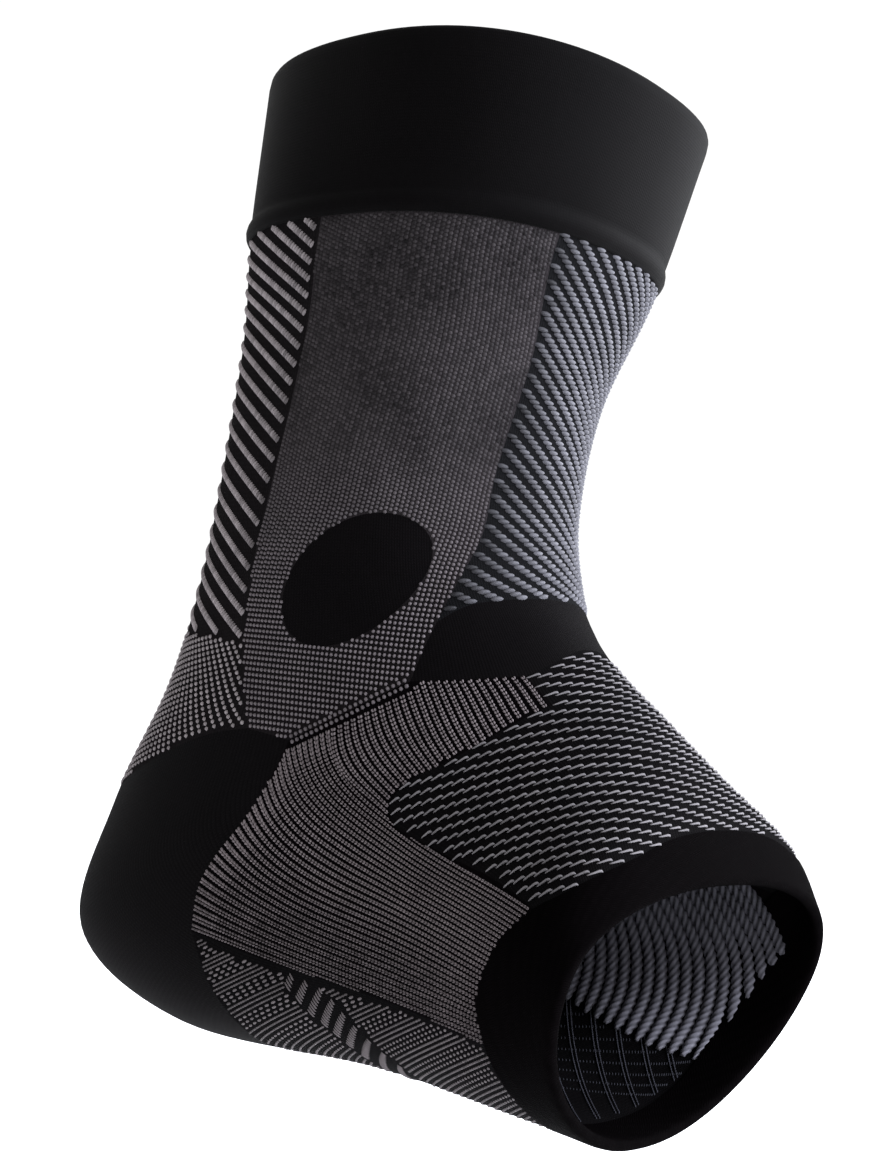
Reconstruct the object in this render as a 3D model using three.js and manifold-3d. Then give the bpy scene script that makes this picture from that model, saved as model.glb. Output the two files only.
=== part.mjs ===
// Knitted ankle sleeve: an elastic knit tube that bends at the ankle, open at the leg and at the toes.
// Millimetres. +Z runs up the leg, the toes point along -Y, and -X is the wearer's right side.
// The origin is the centre of the ankle, inside the hollow.
import * as THREE from 'three';
import { mergeVertices } from 'three/addons/utils/BufferGeometryUtils.js';
import Module from 'manifold-3d';

const wasm = await Module();
wasm.setup();

// Wall of the single knit, and height of the turned cuff
const KNIT_WALL = 1.8;
const CUFF_HEIGHT = 36;

// The single knit ends this many sections short of the toe rim, under the toe band's place
const BODY_SHORT_OF_RIM = 0.5;

// Gaps between the knits, measured in side view. The shin's border lies where the wall slants most,
// so a smaller gap there is as wide on the wall.
const SEAM_GAP = 0.4;
const SHIN_SEAM_GAP = 0.2;
const CUFF_GAP = 0.35;

// Facets: columns around the tube, rows along its body, points along each knit border
const COLUMNS = 28;
const BODY_ROWS = 24;
const BORDER_POINTS = 10;
const OVAL_POINTS = 22;

// Step in sections and radians over which the wall's direction is taken
const NORMAL_STEP = 0.01;

// Two outline points nearer than this are one corner
const SAME_POINT = 1e-6;

// Reach of the cutting prisms to each side, and corners well outside the sleeve in side view
const ACROSS = 70;
const OUTSIDE = {
  topFront: [130, 110],
  topBack: [-80, 110],
  bottomFront: [130, -110],
  bottomBack: [-80, -110],
};

// Sections from the leg opening to the toe opening. Each is an oval between a front point on the
// shin or instep and a back point on the heel cord, heel or sole, both as [forward, height].
// half is half its width, egg narrows its front, and square is 2 for an ellipse. sway sets its middle
// to the left, or to the right where it is negative: the worn foot turns a little towards the toes.
const SECTIONS = [
  { at: 'cuff top', front: [56, 122], back: [-36.5, 116.5],
    half: 46, egg: -0.12, square: 2.3, sway: 0 },
  { at: 'cuff base', front: [51, 87.5], back: [-32.5, 80],
    half: 43, egg: 0, square: 2.35, sway: 0 },
  { at: 'shin middle', front: [45, 59], back: [-35, 61],
    half: 37.2, egg: 0, square: 2.15, sway: 0 },
  { at: 'shin low', front: [45, 35], back: [-36, 33],
    half: 35.3, egg: 0.02, square: 2.1, sway: 0 },
  { at: 'ankle', front: [49.5, 19.3], back: [-37.5, 6],
    half: 35.5, egg: 0.02, square: 2.1, sway: 0 },
  { at: 'bend upper', front: [56.3, 10.5], back: [-43, -19.3],
    half: 34.5, egg: 0.05, square: 2.1, sway: 0 },
  { at: 'bend middle', front: [63.7, 4.4], back: [-55, -50],
    half: 34.3, egg: 0.06, square: 2.15, sway: -0.2 },
  { at: 'heel back', front: [70.5, 0], back: [-55.5, -79.3],
    half: 36.8, egg: 0.08, square: 2.25, sway: -0.9 },
  { at: 'heel base', front: [76.5, -3.6], back: [-18, -90],
    half: 37.6, egg: 0.1, square: 2.35, sway: -1.9 },
  { at: 'middle foot', front: [87.8, -11.8], back: [37.2, -84],
    half: 42.7, egg: 0, square: 2.25, sway: -3 },
  { at: 'toe band', front: [97.6, -20.6], back: [77.2, -82.5],
    half: 48.8, egg: -0.15, square: 2.3, sway: -4.6 },
  { at: 'toe rim', front: [103.7, -30.6], back: [94.8, -82.5],
    half: 48.9, egg: -0.25, square: 2.15, sway: -7 },
];
const LAST = SECTIONS.length - 1;

// Turned cuff, as its outside and inside faces: distance below the top edge, and lift off the body
const CUFF_OUTSIDE = [
  { down: 0, lift: -0.2 },
  { down: 0.8, lift: 0.3 },
  { down: 2.5, lift: 0.55 },
  { down: 17, lift: 0.45 },
  { down: 30.5, lift: 0.45 },
  { down: 33.5, lift: 1.3 },
  { down: 35.6, lift: 1 },
  { down: 36, lift: 0.5 },
];
const CUFF_INSIDE = [
  { down: 36, lift: -1.4 },
  { down: 34.5, lift: -1.8 },
  { down: 17, lift: -1.8 },
  { down: 1.6, lift: -1.7 },
  { down: 0.3, lift: -1.1 },
];

// Toe band, as its outside and inside faces: place along the sections, and lift off the body
const TOE_OUTSIDE = [
  { t: 9.4, lift: 0.2 },
  { t: 9.8, lift: 0.2 },
  { t: 10.2, lift: 0.2 },
  { t: 10.6, lift: 0.2 },
  { t: 10.93, lift: 0.1 },
  { t: 11, lift: -0.5 },
];
const TOE_INSIDE = [
  { t: 11, lift: -1.5 },
  { t: 10.93, lift: -2.1 },
  { t: 10.6, lift: -2.2 },
  { t: 10.2, lift: -2.2 },
  { t: 9.8, lift: -2.2 },
  { t: 9.4, lift: -2.2 },
];

// Corners where knit borders meet, in side view as [forward, height]
const CORNER = {
  cuffBack: [7.3, 84.2],
  cuffFront: [48.6, 88.1],
  creaseFork: [39.6, 7.4],
  creaseTip: [37.5, -5],
  heelTip: [14.6, -21],
  panelFoot: [3, -20.6],
  heelCordSplit: [-2.1, -3],
  strapTop: [57.3, -0.1],
  strapFoot: [64.8, -4.6],
  archToe: [89.3, -37.2],
  soleToe: [82.2, -62.6],
  soleHeel: [0.9, -63],
};

// Knit borders in side view, each a smooth curve from corner to corner or past the outline
const BORDERS = {
  panelBackUpper: [[8.6, 96], CORNER.cuffBack, [5, 70], [2.8, 58.8], [0.6, 44], [-1.2, 30], [-2.5, 14],
    CORNER.heelCordSplit],
  panelBackLower: [CORNER.heelCordSplit, [-0.3, -11.5], CORNER.panelFoot],
  panelFront: [[50.3, 96], CORNER.cuffFront, [45.2, 72], [42.6, 58], [41.2, 46], [40.8, 36], [41.5, 25],
    [41, 17], CORNER.creaseFork],
  creasePanel: [CORNER.creaseFork, [38.4, 1], CORNER.creaseTip],
  creaseShin: [CORNER.creaseFork, [43.9, 11.8], [50, 14.9], [58, 19], [70, 25]],
  creaseStrap: [CORNER.creaseTip, [48.4, -2.6], CORNER.strapTop],
  creaseInstep: [CORNER.strapTop, [60, 3.8], [60.4, 7.4], [61.2, 13], [62, 20]],
  stripeEnd: [CORNER.heelCordSplit, [-20, -3.3], [-60, -5]],
  heelTop: [CORNER.panelFoot, [-6.3, -23.2], [-16, -27.3], [-36, -37.6], [-53, -47], [-75, -60]],
  heelTipTop: [CORNER.heelTip, CORNER.panelFoot],
  gusset: [CORNER.heelTip, [25, -14.1], CORNER.creaseTip],
  heelFront: [CORNER.heelTip, [12.9, -29], [9.4, -38], [4, -46.8], [1, -53.8], CORNER.soleHeel],
  heelSole: [CORNER.soleHeel, [5.7, -70.9], [10.3, -78], [12, -84], [11, -100]],
  strapEnd: [CORNER.strapTop, CORNER.strapFoot],
  strapLow: [CORNER.strapFoot, [57.2, -13.2], [51.5, -18.6], [46.4, -22.6], [43.4, -27.6], [46.6, -31.8],
    [62, -34.1], [76, -35.2], CORNER.archToe],
  soleEdge: [CORNER.soleHeel, [28, -63.1], [58, -62.2], CORNER.soleToe],
  toeTop: [CORNER.archToe, [94.8, -32.7], [98.4, -27.5], [98.8, -22.3], [99.6, -8]],
  toeSide: [CORNER.archToe, [83.3, -45.3], [80.8, -54.4], CORNER.soleToe],
  toeSole: [CORNER.soleToe, [83.3, -66.5], [85.2, -73], [85.6, -80], [86, -100]],
};

// Oval pad over each ankle bone, in side view
const PAD = { forward: 21.6, height: 12.8, long: 17.1, short: 11, tilt: 45 };

// Colours of the knits
const BLACK_KNIT = 0x131112;
const GREY_KNIT = 0x363234;
const ROPE_KNIT = 0x504f58;
const STRIPE_KNIT = 0x373234;
const DASH_KNIT = 0x2e2c2e;
const SMOOTH = 0.72;
const ROUGH = 0.92;

// Form of the sleeve

const planePoint = ([forward, height]) => new THREE.Vector2(forward, height);
const placed = ([forward, height], sway) => new THREE.Vector3(sway, -forward, height);
const smoothLine = (points) => new THREE.CatmullRomCurve3(points, false, 'catmullrom');
const FRONT_LINE = smoothLine(SECTIONS.map((s) => placed(s.front, s.sway)));
const BACK_LINE = smoothLine(SECTIONS.map((s) => placed(s.back, s.sway)));
const SHAPE_LINE = smoothLine(SECTIONS.map((s) => new THREE.Vector3(s.half, s.egg, s.square)));

const signedPower = (value, power) => Math.sign(value) * Math.abs(value) ** power;

// Point on the body's outer face: t counts sections from the leg, theta turns from the front
function formPoint(t, theta) {
  const u = THREE.MathUtils.clamp(t / LAST, 0, 1);
  const front = FRONT_LINE.getPoint(u);
  const back = BACK_LINE.getPoint(u);
  const shape = SHAPE_LINE.getPoint(u);
  const fore = signedPower(Math.cos(theta), 2 / shape.z);
  const across = signedPower(Math.sin(theta), 2 / shape.z);
  const point = back.lerp(front, 0.5 + 0.5 * fore);
  point.x += shape.x * across * (1 - shape.y * fore);
  return point;
}

function liftedPoint(t, theta, lift) {
  const below = Math.min(t + NORMAL_STEP, LAST);
  const above = Math.max(t - NORMAL_STEP, 0);
  const along = formPoint(below, theta).sub(formPoint(above, theta));
  const around = formPoint(t, theta + NORMAL_STEP).sub(formPoint(t, theta - NORMAL_STEP));
  const outward = along.cross(around).normalize();
  return formPoint(t, theta).addScaledVector(outward, lift);
}

// Closed ring swept round the sleeve from a closed loop of { t, lift }
function ring(loop) {
  const positions = [];
  const triangles = [];
  loop.forEach(({ t, lift }, row) => {
    const nextRow = (row + 1) % loop.length;
    for (let column = 0; column < COLUMNS; column += 1) {
      const theta = (2 * Math.PI * (column + 0.5)) / COLUMNS;
      const nextColumn = (column + 1) % COLUMNS;
      const here = row * COLUMNS + column;
      const down = nextRow * COLUMNS + column;
      const diagonal = nextRow * COLUMNS + nextColumn;
      const beside = row * COLUMNS + nextColumn;
      positions.push(...liftedPoint(t, theta, lift).toArray());
      triangles.push(here, down, diagonal, here, diagonal, beside);
    }
  });
  const geometry = new THREE.BufferGeometry();
  geometry.setAttribute('position', new THREE.Float32BufferAttribute(positions, 3));
  geometry.setIndex(triangles);
  return geometry;
}

function bodyWall() {
  const top = 1 + CUFF_GAP / CUFF_HEIGHT;
  const bottom = LAST - BODY_SHORT_OF_RIM;
  const pitch = (bottom - top) / (BODY_ROWS - 1);
  const places = Array.from({ length: BODY_ROWS }, (_, row) => top + pitch * row);
  const outside = places.map((t) => ({ t, lift: 0 }));
  const inside = places.toReversed().map((t) => ({ t, lift: -KNIT_WALL }));
  return ring([...outside, ...inside]);
}

function turnedCuff() {
  return ring([...CUFF_OUTSIDE, ...CUFF_INSIDE].map(({ down, lift }) => ({ t: down / CUFF_HEIGHT, lift })));
}

// Joining and cutting of closed meshes

function toSolid(geometry) {
  const bare = geometry.clone();
  bare.deleteAttribute('normal');
  bare.deleteAttribute('uv');
  const merged = mergeVertices(bare);
  return new wasm.Manifold(new wasm.Mesh({
    numProp: 3,
    vertProperties: new Float32Array(merged.attributes.position.array),
    triVerts: new Uint32Array(merged.index.array),
  }));
}

function toGeometry(solid) {
  const mesh = solid.getMesh();
  const geometry = new THREE.BufferGeometry();
  geometry.setAttribute('position', new THREE.BufferAttribute(mesh.vertProperties, 3));
  geometry.setIndex(new THREE.BufferAttribute(mesh.triVerts, 1));
  geometry.computeVertexNormals();
  return geometry;
}

// Prism across the sleeve from a side-view outline, from x = fromX to x = toX
function prism(outline, fromX, toX) {
  const shape = new THREE.Shape(outline.map(planePoint));
  const geometry = new THREE.ExtrudeGeometry(shape, { depth: toX - fromX, bevelEnabled: false });
  const frame = new THREE.Matrix4().makeBasis(
    new THREE.Vector3(0, -1, 0), new THREE.Vector3(0, 0, 1), new THREE.Vector3(-1, 0, 0));
  geometry.applyMatrix4(frame);
  geometry.translate(toX, 0, 0);
  return toSolid(geometry);
}

// Prisms across the sleeve, and across its right (-1) or left (1) half
const wholePrism = (outline) => prism(outline, -ACROSS, ACROSS);
const halfPrism = (outline, side) => prism(outline, Math.min(0, side * ACROSS), Math.max(0, side * ACROSS));

// Knit borders and zones

function borderPoints(name) {
  const points = BORDERS[name];
  const curve = new THREE.SplineCurve(points.map(planePoint));
  const pieces = points.length > 2 ? BORDER_POINTS : 1;
  return curve.getPoints(pieces).map((p) => [p.x, p.y]);
}

// Outline through borders in order, a name led by '-' is run backwards, and bare points close it
function outlineOf(...steps) {
  const outline = steps.flatMap((step) => {
    if (typeof step !== 'string') return [step];
    return step.startsWith('-') ? borderPoints(step.slice(1)).reverse() : borderPoints(step);
  });
  return outline.filter(([forward, height], index) => {
    const [nextForward, nextHeight] = outline[(index + 1) % outline.length];
    return Math.hypot(nextForward - forward, nextHeight - height) > SAME_POINT;
  });
}

// Thin prism along a border, which parts the two knits that meet there
function seamCut(name, gap) {
  const points = borderPoints(name);
  const sides = points.map(([forward, height], index) => {
    const before = points[Math.max(index - 1, 0)];
    const after = points[Math.min(index + 1, points.length - 1)];
    const run = new THREE.Vector2(after[0] - before[0], after[1] - before[1]).setLength(gap / 2);
    return { left: [forward - run.y, height + run.x], right: [forward + run.y, height - run.x] };
  });
  const outline = [...sides.map((s) => s.left), ...sides.map((s) => s.right).reverse()];
  return wholePrism(outline);
}

function ovalOutline(margin) {
  const { forward, height, long, short, tilt } = PAD;
  const turn = THREE.MathUtils.degToRad(tilt);
  const curve = new THREE.EllipseCurve(
    forward, height, long + margin, short + margin, 0, 2 * Math.PI, false, turn);
  return curve.getPoints(OVAL_POINTS).slice(0, -1).map((p) => [p.x, p.y]);
}

const ZONES = {
  shin: outlineOf('panelFront', 'creaseShin', OUTSIDE.topFront),
  side: outlineOf('panelBackUpper', 'panelBackLower', '-heelTipTop', 'gusset', '-creasePanel', '-panelFront'),
  stripes: outlineOf('panelBackUpper', 'stripeEnd', OUTSIDE.topBack),
  heelCord: outlineOf('panelBackLower', 'heelTop', '-stripeEnd'),
  heel: outlineOf('heelFront', 'heelSole', OUTSIDE.bottomBack, '-heelTop', '-heelTipTop'),
  arch: outlineOf('gusset', 'creaseStrap', 'strapEnd', 'strapLow', 'toeSide', '-soleEdge', '-heelFront'),
  crease: outlineOf('creaseStrap', 'creaseInstep', '-creaseShin', 'creasePanel'),
  instep: outlineOf('creaseInstep', '-toeTop', '-strapLow', '-strapEnd'),
  sole: outlineOf('soleEdge', 'toeSole', '-heelSole'),
  toe: outlineOf('toeTop', OUTSIDE.topFront, OUTSIDE.bottomFront, '-toeSole', '-toeSide'),
};

function partedBody(wall) {
  return Object.keys(BORDERS).reduce((solid, name) => {
    const gap = name === 'panelFront' ? SHIN_SEAM_GAP : SEAM_GAP;
    return solid.subtract(seamCut(name, gap));
  }, wall);
}

const knitBody = partedBody(toSolid(bodyWall()));
const toeRing = partedBody(toSolid(ring([...TOE_OUTSIDE, ...TOE_INSIDE])));

const sleeve = new THREE.Group();

function addPiece(name, geometry, color, roughness) {
  const material = new THREE.MeshStandardMaterial({ color, roughness, metalness: 0 });
  const mesh = new THREE.Mesh(geometry, material);
  mesh.name = name;
  sleeve.add(mesh);
}

// Knits that run across the sleeve
const WHOLE_KNITS = [
  { name: 'shin_panel', zone: 'shin', color: ROPE_KNIT },
  { name: 'heel_cord_stripes', zone: 'stripes', color: STRIPE_KNIT },
  { name: 'heel_cord_panel', zone: 'heelCord', color: STRIPE_KNIT },
  { name: 'heel_cup', zone: 'heel', color: BLACK_KNIT },
  { name: 'crease_band', zone: 'crease', color: BLACK_KNIT },
  { name: 'instep_panel', zone: 'instep', color: DASH_KNIT },
  { name: 'sole_panel', zone: 'sole', color: DASH_KNIT },
];

addPiece('top_cuff', turnedCuff(), BLACK_KNIT, SMOOTH);
addPiece('toe_band', toGeometry(toeRing.intersect(wholePrism(ZONES.toe))), BLACK_KNIT, SMOOTH);
for (const { name, zone, color } of WHOLE_KNITS) {
  addPiece(name, toGeometry(knitBody.intersect(wholePrism(ZONES[zone]))), color, ROUGH);
}

// Knits of each side, with the oval pad set into the side panel
for (const [hand, side] of [['right', -1], ['left', 1]]) {
  const panel = knitBody.intersect(halfPrism(ZONES.side, side));
  const padHole = halfPrism(ovalOutline(SEAM_GAP), side);
  const pad = knitBody.intersect(halfPrism(ovalOutline(0), side));
  const arch = knitBody.intersect(halfPrism(ZONES.arch, side));
  addPiece(`side_panel_${hand}`, toGeometry(panel.subtract(padHole)), GREY_KNIT, ROUGH);
  addPiece(`ankle_pad_${hand}`, toGeometry(pad), BLACK_KNIT, ROUGH);
  addPiece(`arch_panel_${hand}`, toGeometry(arch), GREY_KNIT, ROUGH);
}

export default sleeve;
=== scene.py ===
"""Looks of the knitted ankle sleeve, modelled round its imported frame.

Tables are in millimetres and MM turns them into metres. +Z runs up the leg, the toes point along -Y,
and -X is the wearer's right. On the sleeve a place is (t, turn): t counts the sections from the leg
opening to the toe opening, and turn goes round from the front, with the left side positive.
In side view a place is (forward, height).
"""
import math

import bmesh
import bpy
import numpy as np
from mathutils import Matrix


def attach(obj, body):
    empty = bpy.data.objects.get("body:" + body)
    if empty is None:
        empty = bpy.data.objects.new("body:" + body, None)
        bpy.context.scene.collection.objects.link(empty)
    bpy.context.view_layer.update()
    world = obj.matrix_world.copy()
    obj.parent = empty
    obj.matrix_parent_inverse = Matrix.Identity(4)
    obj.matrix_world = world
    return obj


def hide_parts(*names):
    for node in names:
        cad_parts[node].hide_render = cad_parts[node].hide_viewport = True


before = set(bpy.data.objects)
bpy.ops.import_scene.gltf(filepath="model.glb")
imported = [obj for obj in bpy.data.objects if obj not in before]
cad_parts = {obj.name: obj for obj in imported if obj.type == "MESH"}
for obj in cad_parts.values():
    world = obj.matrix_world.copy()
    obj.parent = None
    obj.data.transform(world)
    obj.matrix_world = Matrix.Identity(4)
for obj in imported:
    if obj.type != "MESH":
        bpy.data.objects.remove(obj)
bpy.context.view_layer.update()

MM = 0.001
RIGHT = -1
LEFT = 1
BOTH = 0
SIDE_NAMES = {RIGHT: "right", LEFT: "left"}

# Sections of the sleeve: front point, back point, half width, how far the front narrows, squareness,
# and how far the middle sways to the left
SECTIONS = (
    ("cuff top", (56, 122), (-36.5, 116.5), 46, -0.12, 2.3, 0),
    ("cuff base", (51, 87.5), (-32.5, 80), 43, 0, 2.35, 0),
    ("shin middle", (45, 59), (-35, 61), 37.2, 0, 2.15, 0),
    ("shin low", (45, 35), (-36, 33), 35.3, 0.02, 2.1, 0),
    ("ankle", (49.5, 19.3), (-37.5, 6), 35.5, 0.02, 2.1, 0),
    ("bend upper", (56.3, 10.5), (-43, -19.3), 34.5, 0.05, 2.1, 0),
    ("bend middle", (63.7, 4.4), (-55, -50), 34.3, 0.06, 2.15, -0.2),
    ("heel back", (70.5, 0), (-55.5, -79.3), 36.8, 0.08, 2.25, -0.9),
    ("heel base", (76.5, -3.6), (-18, -90), 37.6, 0.1, 2.35, -1.9),
    ("middle foot", (87.8, -11.8), (37.2, -84), 42.7, 0, 2.25, -3),
    ("toe band", (97.6, -20.6), (77.2, -82.5), 48.8, -0.15, 2.3, -4.6),
    ("toe rim", (103.7, -30.6), (94.8, -82.5), 48.9, -0.25, 2.15, -7),
)
FORM = np.array([[*front, *back, *shape] for _, front, back, *shape in SECTIONS])
RIM = len(SECTIONS) - 1
CUFF_BASE = 1.0

KNIT_WALL = 1.8
CUFF_HEIGHT = 36

# Turned cuff: distance below its top edge, and lift off the sleeve's face, outside then inside
CUFF_PROFILE = (
    (0, -0.3), (0.25, 0.1), (0.8, 0.4), (2.5, 0.58), (8, 0.52), (17, 0.45), (25, 0.42), (29.6, 0.4),
    (30.6, 0.35), (31.4, 0.7), (32.4, 1.1), (33.6, 1.3), (34.8, 1.15), (35.6, 0.8), (36, 0.2),
    (36, -1.0), (35.5, -1.6), (34, -1.8), (25, -1.8), (17, -1.8), (8, -1.8), (1.6, -1.7), (0.5, -1.4),
    (0, -0.8),
)

# Toe band: place along the sections, and lift off the sleeve's face, outside then inside
TOE_PROFILE = (
    (9.4, 0.2), (9.55, 0.2), (9.7, 0.2), (9.85, 0.2), (10, 0.2), (10.15, 0.2), (10.3, 0.2), (10.45, 0.2),
    (10.6, 0.2), (10.75, 0.22), (10.88, 0.22), (10.95, 0.1), (10.985, -0.2), (11, -0.7),
    (11, -1.4), (10.985, -1.85), (10.95, -2.1), (10.88, -2.2), (10.7, -2.2), (10.5, -2.2), (10.3, -2.2),
    (10.1, -2.2), (9.9, -2.2), (9.7, -2.2), (9.5, -2.2), (9.4, -2.2),
)

# Corners where knit borders meet, in side view
CUFF_BACK = (7.3, 84.2)
CUFF_FRONT = (48.6, 88.1)
CREASE_FORK = (39.6, 7.4)
CREASE_TIP = (37.5, -5)
HEEL_TIP = (14.6, -21)
PANEL_FOOT = (3, -20.6)
HEEL_CORD_SPLIT = (-2.1, -3)
STRAP_TOP = (57.3, -0.1)
STRAP_FOOT = (64.8, -4.6)
STRAP_NOTCH = (43.4, -27.6)
ARCH_TOE = (89.3, -37.2)
SOLE_TOE = (82.2, -62.6)
SOLE_HEEL = (0.9, -63)

# Knit borders in side view, each a smooth curve from corner to corner or past the outline
BORDERS = {
    "panel_back_upper": ((8.6, 96), CUFF_BACK, (5, 70), (2.8, 58.8), (0.6, 44), (-1.2, 30), (-2.5, 14),
                         HEEL_CORD_SPLIT),
    "panel_back_lower": (HEEL_CORD_SPLIT, (-0.3, -11.5), PANEL_FOOT),
    "panel_front": ((50.3, 96), CUFF_FRONT, (45.2, 72), (42.6, 58), (41.2, 46), (40.8, 36), (41.5, 25),
                    (41, 17), CREASE_FORK),
    "panel_front_left": ((42.3, 96), (40.6, 88.1), (37.2, 72), (34.6, 58), (33.2, 46), (33, 36), (34.5, 25),
                         (37.2, 15), CREASE_FORK),
    "crease_panel": (CREASE_FORK, (38.4, 1), CREASE_TIP),
    "crease_shin": (CREASE_FORK, (43.9, 11.8), (50, 14.9), (58, 19), (70, 25)),
    "crease_strap": (CREASE_TIP, (48.4, -2.6), STRAP_TOP),
    "crease_instep": (STRAP_TOP, (60, 3.8), (60.4, 7.4), (61.2, 13), (62, 20)),
    "stripe_end": (HEEL_CORD_SPLIT, (-20, -3.3), (-60, -5)),
    "heel_top": (PANEL_FOOT, (-6.3, -23.2), (-16, -27.3), (-36, -37.6), (-53, -47), (-75, -60)),
    "heel_tip_top": (HEEL_TIP, PANEL_FOOT),
    "gusset": (HEEL_TIP, (25, -14.1), CREASE_TIP),
    "heel_front": (HEEL_TIP, (12.9, -29), (9.4, -38), (4, -46.8), (1, -53.8), SOLE_HEEL),
    "heel_sole": (SOLE_HEEL, (5.7, -70.9), (10.3, -78), (12, -84), (11, -100)),
    "strap_end": (STRAP_TOP, STRAP_FOOT),
    "strap_low": (STRAP_FOOT, (57.2, -13.2), (51.5, -18.6), (46.4, -22.6), STRAP_NOTCH, (46.6, -31.8),
                  (62, -34.1), (76, -35.2), ARCH_TOE),
    "sole_edge": (SOLE_HEEL, (28, -63.1), (58, -62.2), SOLE_TOE),
    "toe_top": (ARCH_TOE, (94.8, -32.7), (98.4, -27.5), (98.8, -22.3), (99.6, -8)),
    "toe_side": (ARCH_TOE, (83.3, -45.3), (80.8, -54.4), SOLE_TOE),
    "toe_sole": (SOLE_TOE, (83.3, -66.5), (85.2, -73), (85.6, -80), (86, -100)),
}

# Corners well outside the sleeve in side view, and the reach of the cutting prisms to each side
TOP_FRONT = (130, 110)
TOP_BACK = (-80, 110)
BOTTOM_FRONT = (130, -110)
BOTTOM_BACK = (-80, -110)
ACROSS = 70

# Each knit's outline in side view: border names in order, "-" runs one backwards, and bare corners
ZONES = {
    "shin": ("panel_front", "crease_shin", TOP_FRONT),
    "shin_left": ("panel_front_left", "crease_shin", TOP_FRONT),
    "side": ("panel_back_upper", "panel_back_lower", "-heel_tip_top", "gusset", "-crease_panel",
             "-panel_front"),
    "side_left": ("panel_back_upper", "panel_back_lower", "-heel_tip_top", "gusset", "-crease_panel",
                  "-panel_front_left"),
    "stripes": ("panel_back_upper", "stripe_end", TOP_BACK),
    "heel_cord": ("panel_back_lower", "heel_top", "-stripe_end"),
    "heel": ("heel_front", "heel_sole", BOTTOM_BACK, "-heel_top", "-heel_tip_top"),
    "arch": ("gusset", "crease_strap", "strap_end", "strap_low", "toe_side", "-sole_edge", "-heel_front"),
    "crease": ("crease_strap", "crease_instep", "-crease_shin", "crease_panel"),
    "instep": ("crease_instep", "-toe_top", "-strap_low", "-strap_end"),
    "sole": ("sole_edge", "toe_sole", "-heel_sole"),
    "toe": ("toe_top", TOP_FRONT, BOTTOM_FRONT, "-toe_sole", "-toe_side"),
}

# Oval pad over each ankle bone, in side view
PAD_CENTRE = (21.6, 12.8)
PAD_LONG = 17.1
PAD_SHORT = 11
PAD_TILT = 45

# Side panel: pitch across the wales by section, then pitch along them and openness by length from the cuff.
# Here and below, AHEAD is how far on a stitch looks for its way, MARGIN and CLEAR are how far it stays from
# an outline or a border, and SPREAD is how much its tone varies.
WALE_PITCH = ((1, 0.96), (3.2, 0.98), (4.2, 1.03), (5.2, 1.08))
COURSE_PITCH = ((0, 0.82), (55, 0.84), (95, 1.17))
BEAD_OPENNESS = ((0, 0), (45, 0), (85, 1))
PANEL_WALES = 34
PANEL_FIRST_ROW = 0.5
PANEL_LENGTH = 125
PANEL_END = 6.4
PANEL_STEPS = 160
PANEL_AHEAD = 1
PANEL_MARGIN = 0.15
PAD_CLEAR = 0.12
GIRTH_STEPS = 241

# A bead in close and in open knit: half length and half width in pitches, and height; then how its tone
# changes with openness, and the openness of even tone
BEAD_CLOSE = (0.5, 0.48, 0.2)
BEAD_OPEN = (0.35, 0.35, 0.4)
BEAD_SPREAD = 0.35
BEAD_CONTRAST = 1.7
BEAD_EVEN = 0.6

# Double row of beads along the gusset, and the room that the panel and the ribs leave it
GUSSET_PITCH = 1.2
GUSSET_SHIFT = 0.62
GUSSET_SIZE = (0.44, 0.47, 0.42)
GUSSET_TONE = 0.25
GUSSET_CLEAR = 1.3
GUSSET_RIB_CLEAR = 1.4

# Shin ropes: slope below the level by section; half length, half width and height of a stitch; tone by
# length from the edge, darker near the side panel's edge as painted shade
ROPE_SLOPE = ((0, 31), (1, 32), (1.6, 33), (2.2, 34), (3, 33), (3.7, 28), (4.3, 20), (5, 13))
ROPE_FIRST = 0
ROPE_LAST = 4.85
ROPE_PITCH = 3.2
ROPE_EDGE_TURN = 0.03
ROPE_STITCH = 1.5
ROPE_COUNT = 72
ROPE_SIZE = (1.42, 0.52, 0.7)
ROPE_TWIST = math.radians(31)
ROPE_PAINTED_SHADE = ((0, -0.9), (4, -0.4), (14, 0.15))
ROPE_MARGIN = 0.25

# Diagonal stripes over the heel cord: pitch by length down the border, angle to the level by turn, and
# tone by length up the stripe
STRIPE_FIRST = 0.985
STRIPE_LAST = 6.5
STRIPE_PITCH = ((0, 3.4), (22, 3.5), (34, 3.9), (47, 4.2), (61, 4.7))
STRIPE_RISE = ((92, 33), (110, 28), (125, 21), (140, 15), (180, 12))
STRIPE_STITCH = 0.74
STRIPE_COUNT = 110
STRIPE_SIZE = (0.88, 0.36, 0.5)
STRIPE_TONE = ((0, -0.65), (3, -0.25), (12, 0.15))
STRIPE_SPREAD = 0.8
STRIPE_MARGIN = 0.4
STRIPE_CLEAR = 0.7

# Dots between the stripes and the heel: first and last section, first turn
CORD_DOT_SECTIONS = (4, 6.6)
CORD_DOT_TURN = 1.6
CORD_DOT_ROWS = 44
CORD_DOT_COLUMNS = 42
CORD_DOT_SIZE = (0.5, 0.46, 0.4)
CORD_DOT_MARGIN = 0.6

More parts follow.
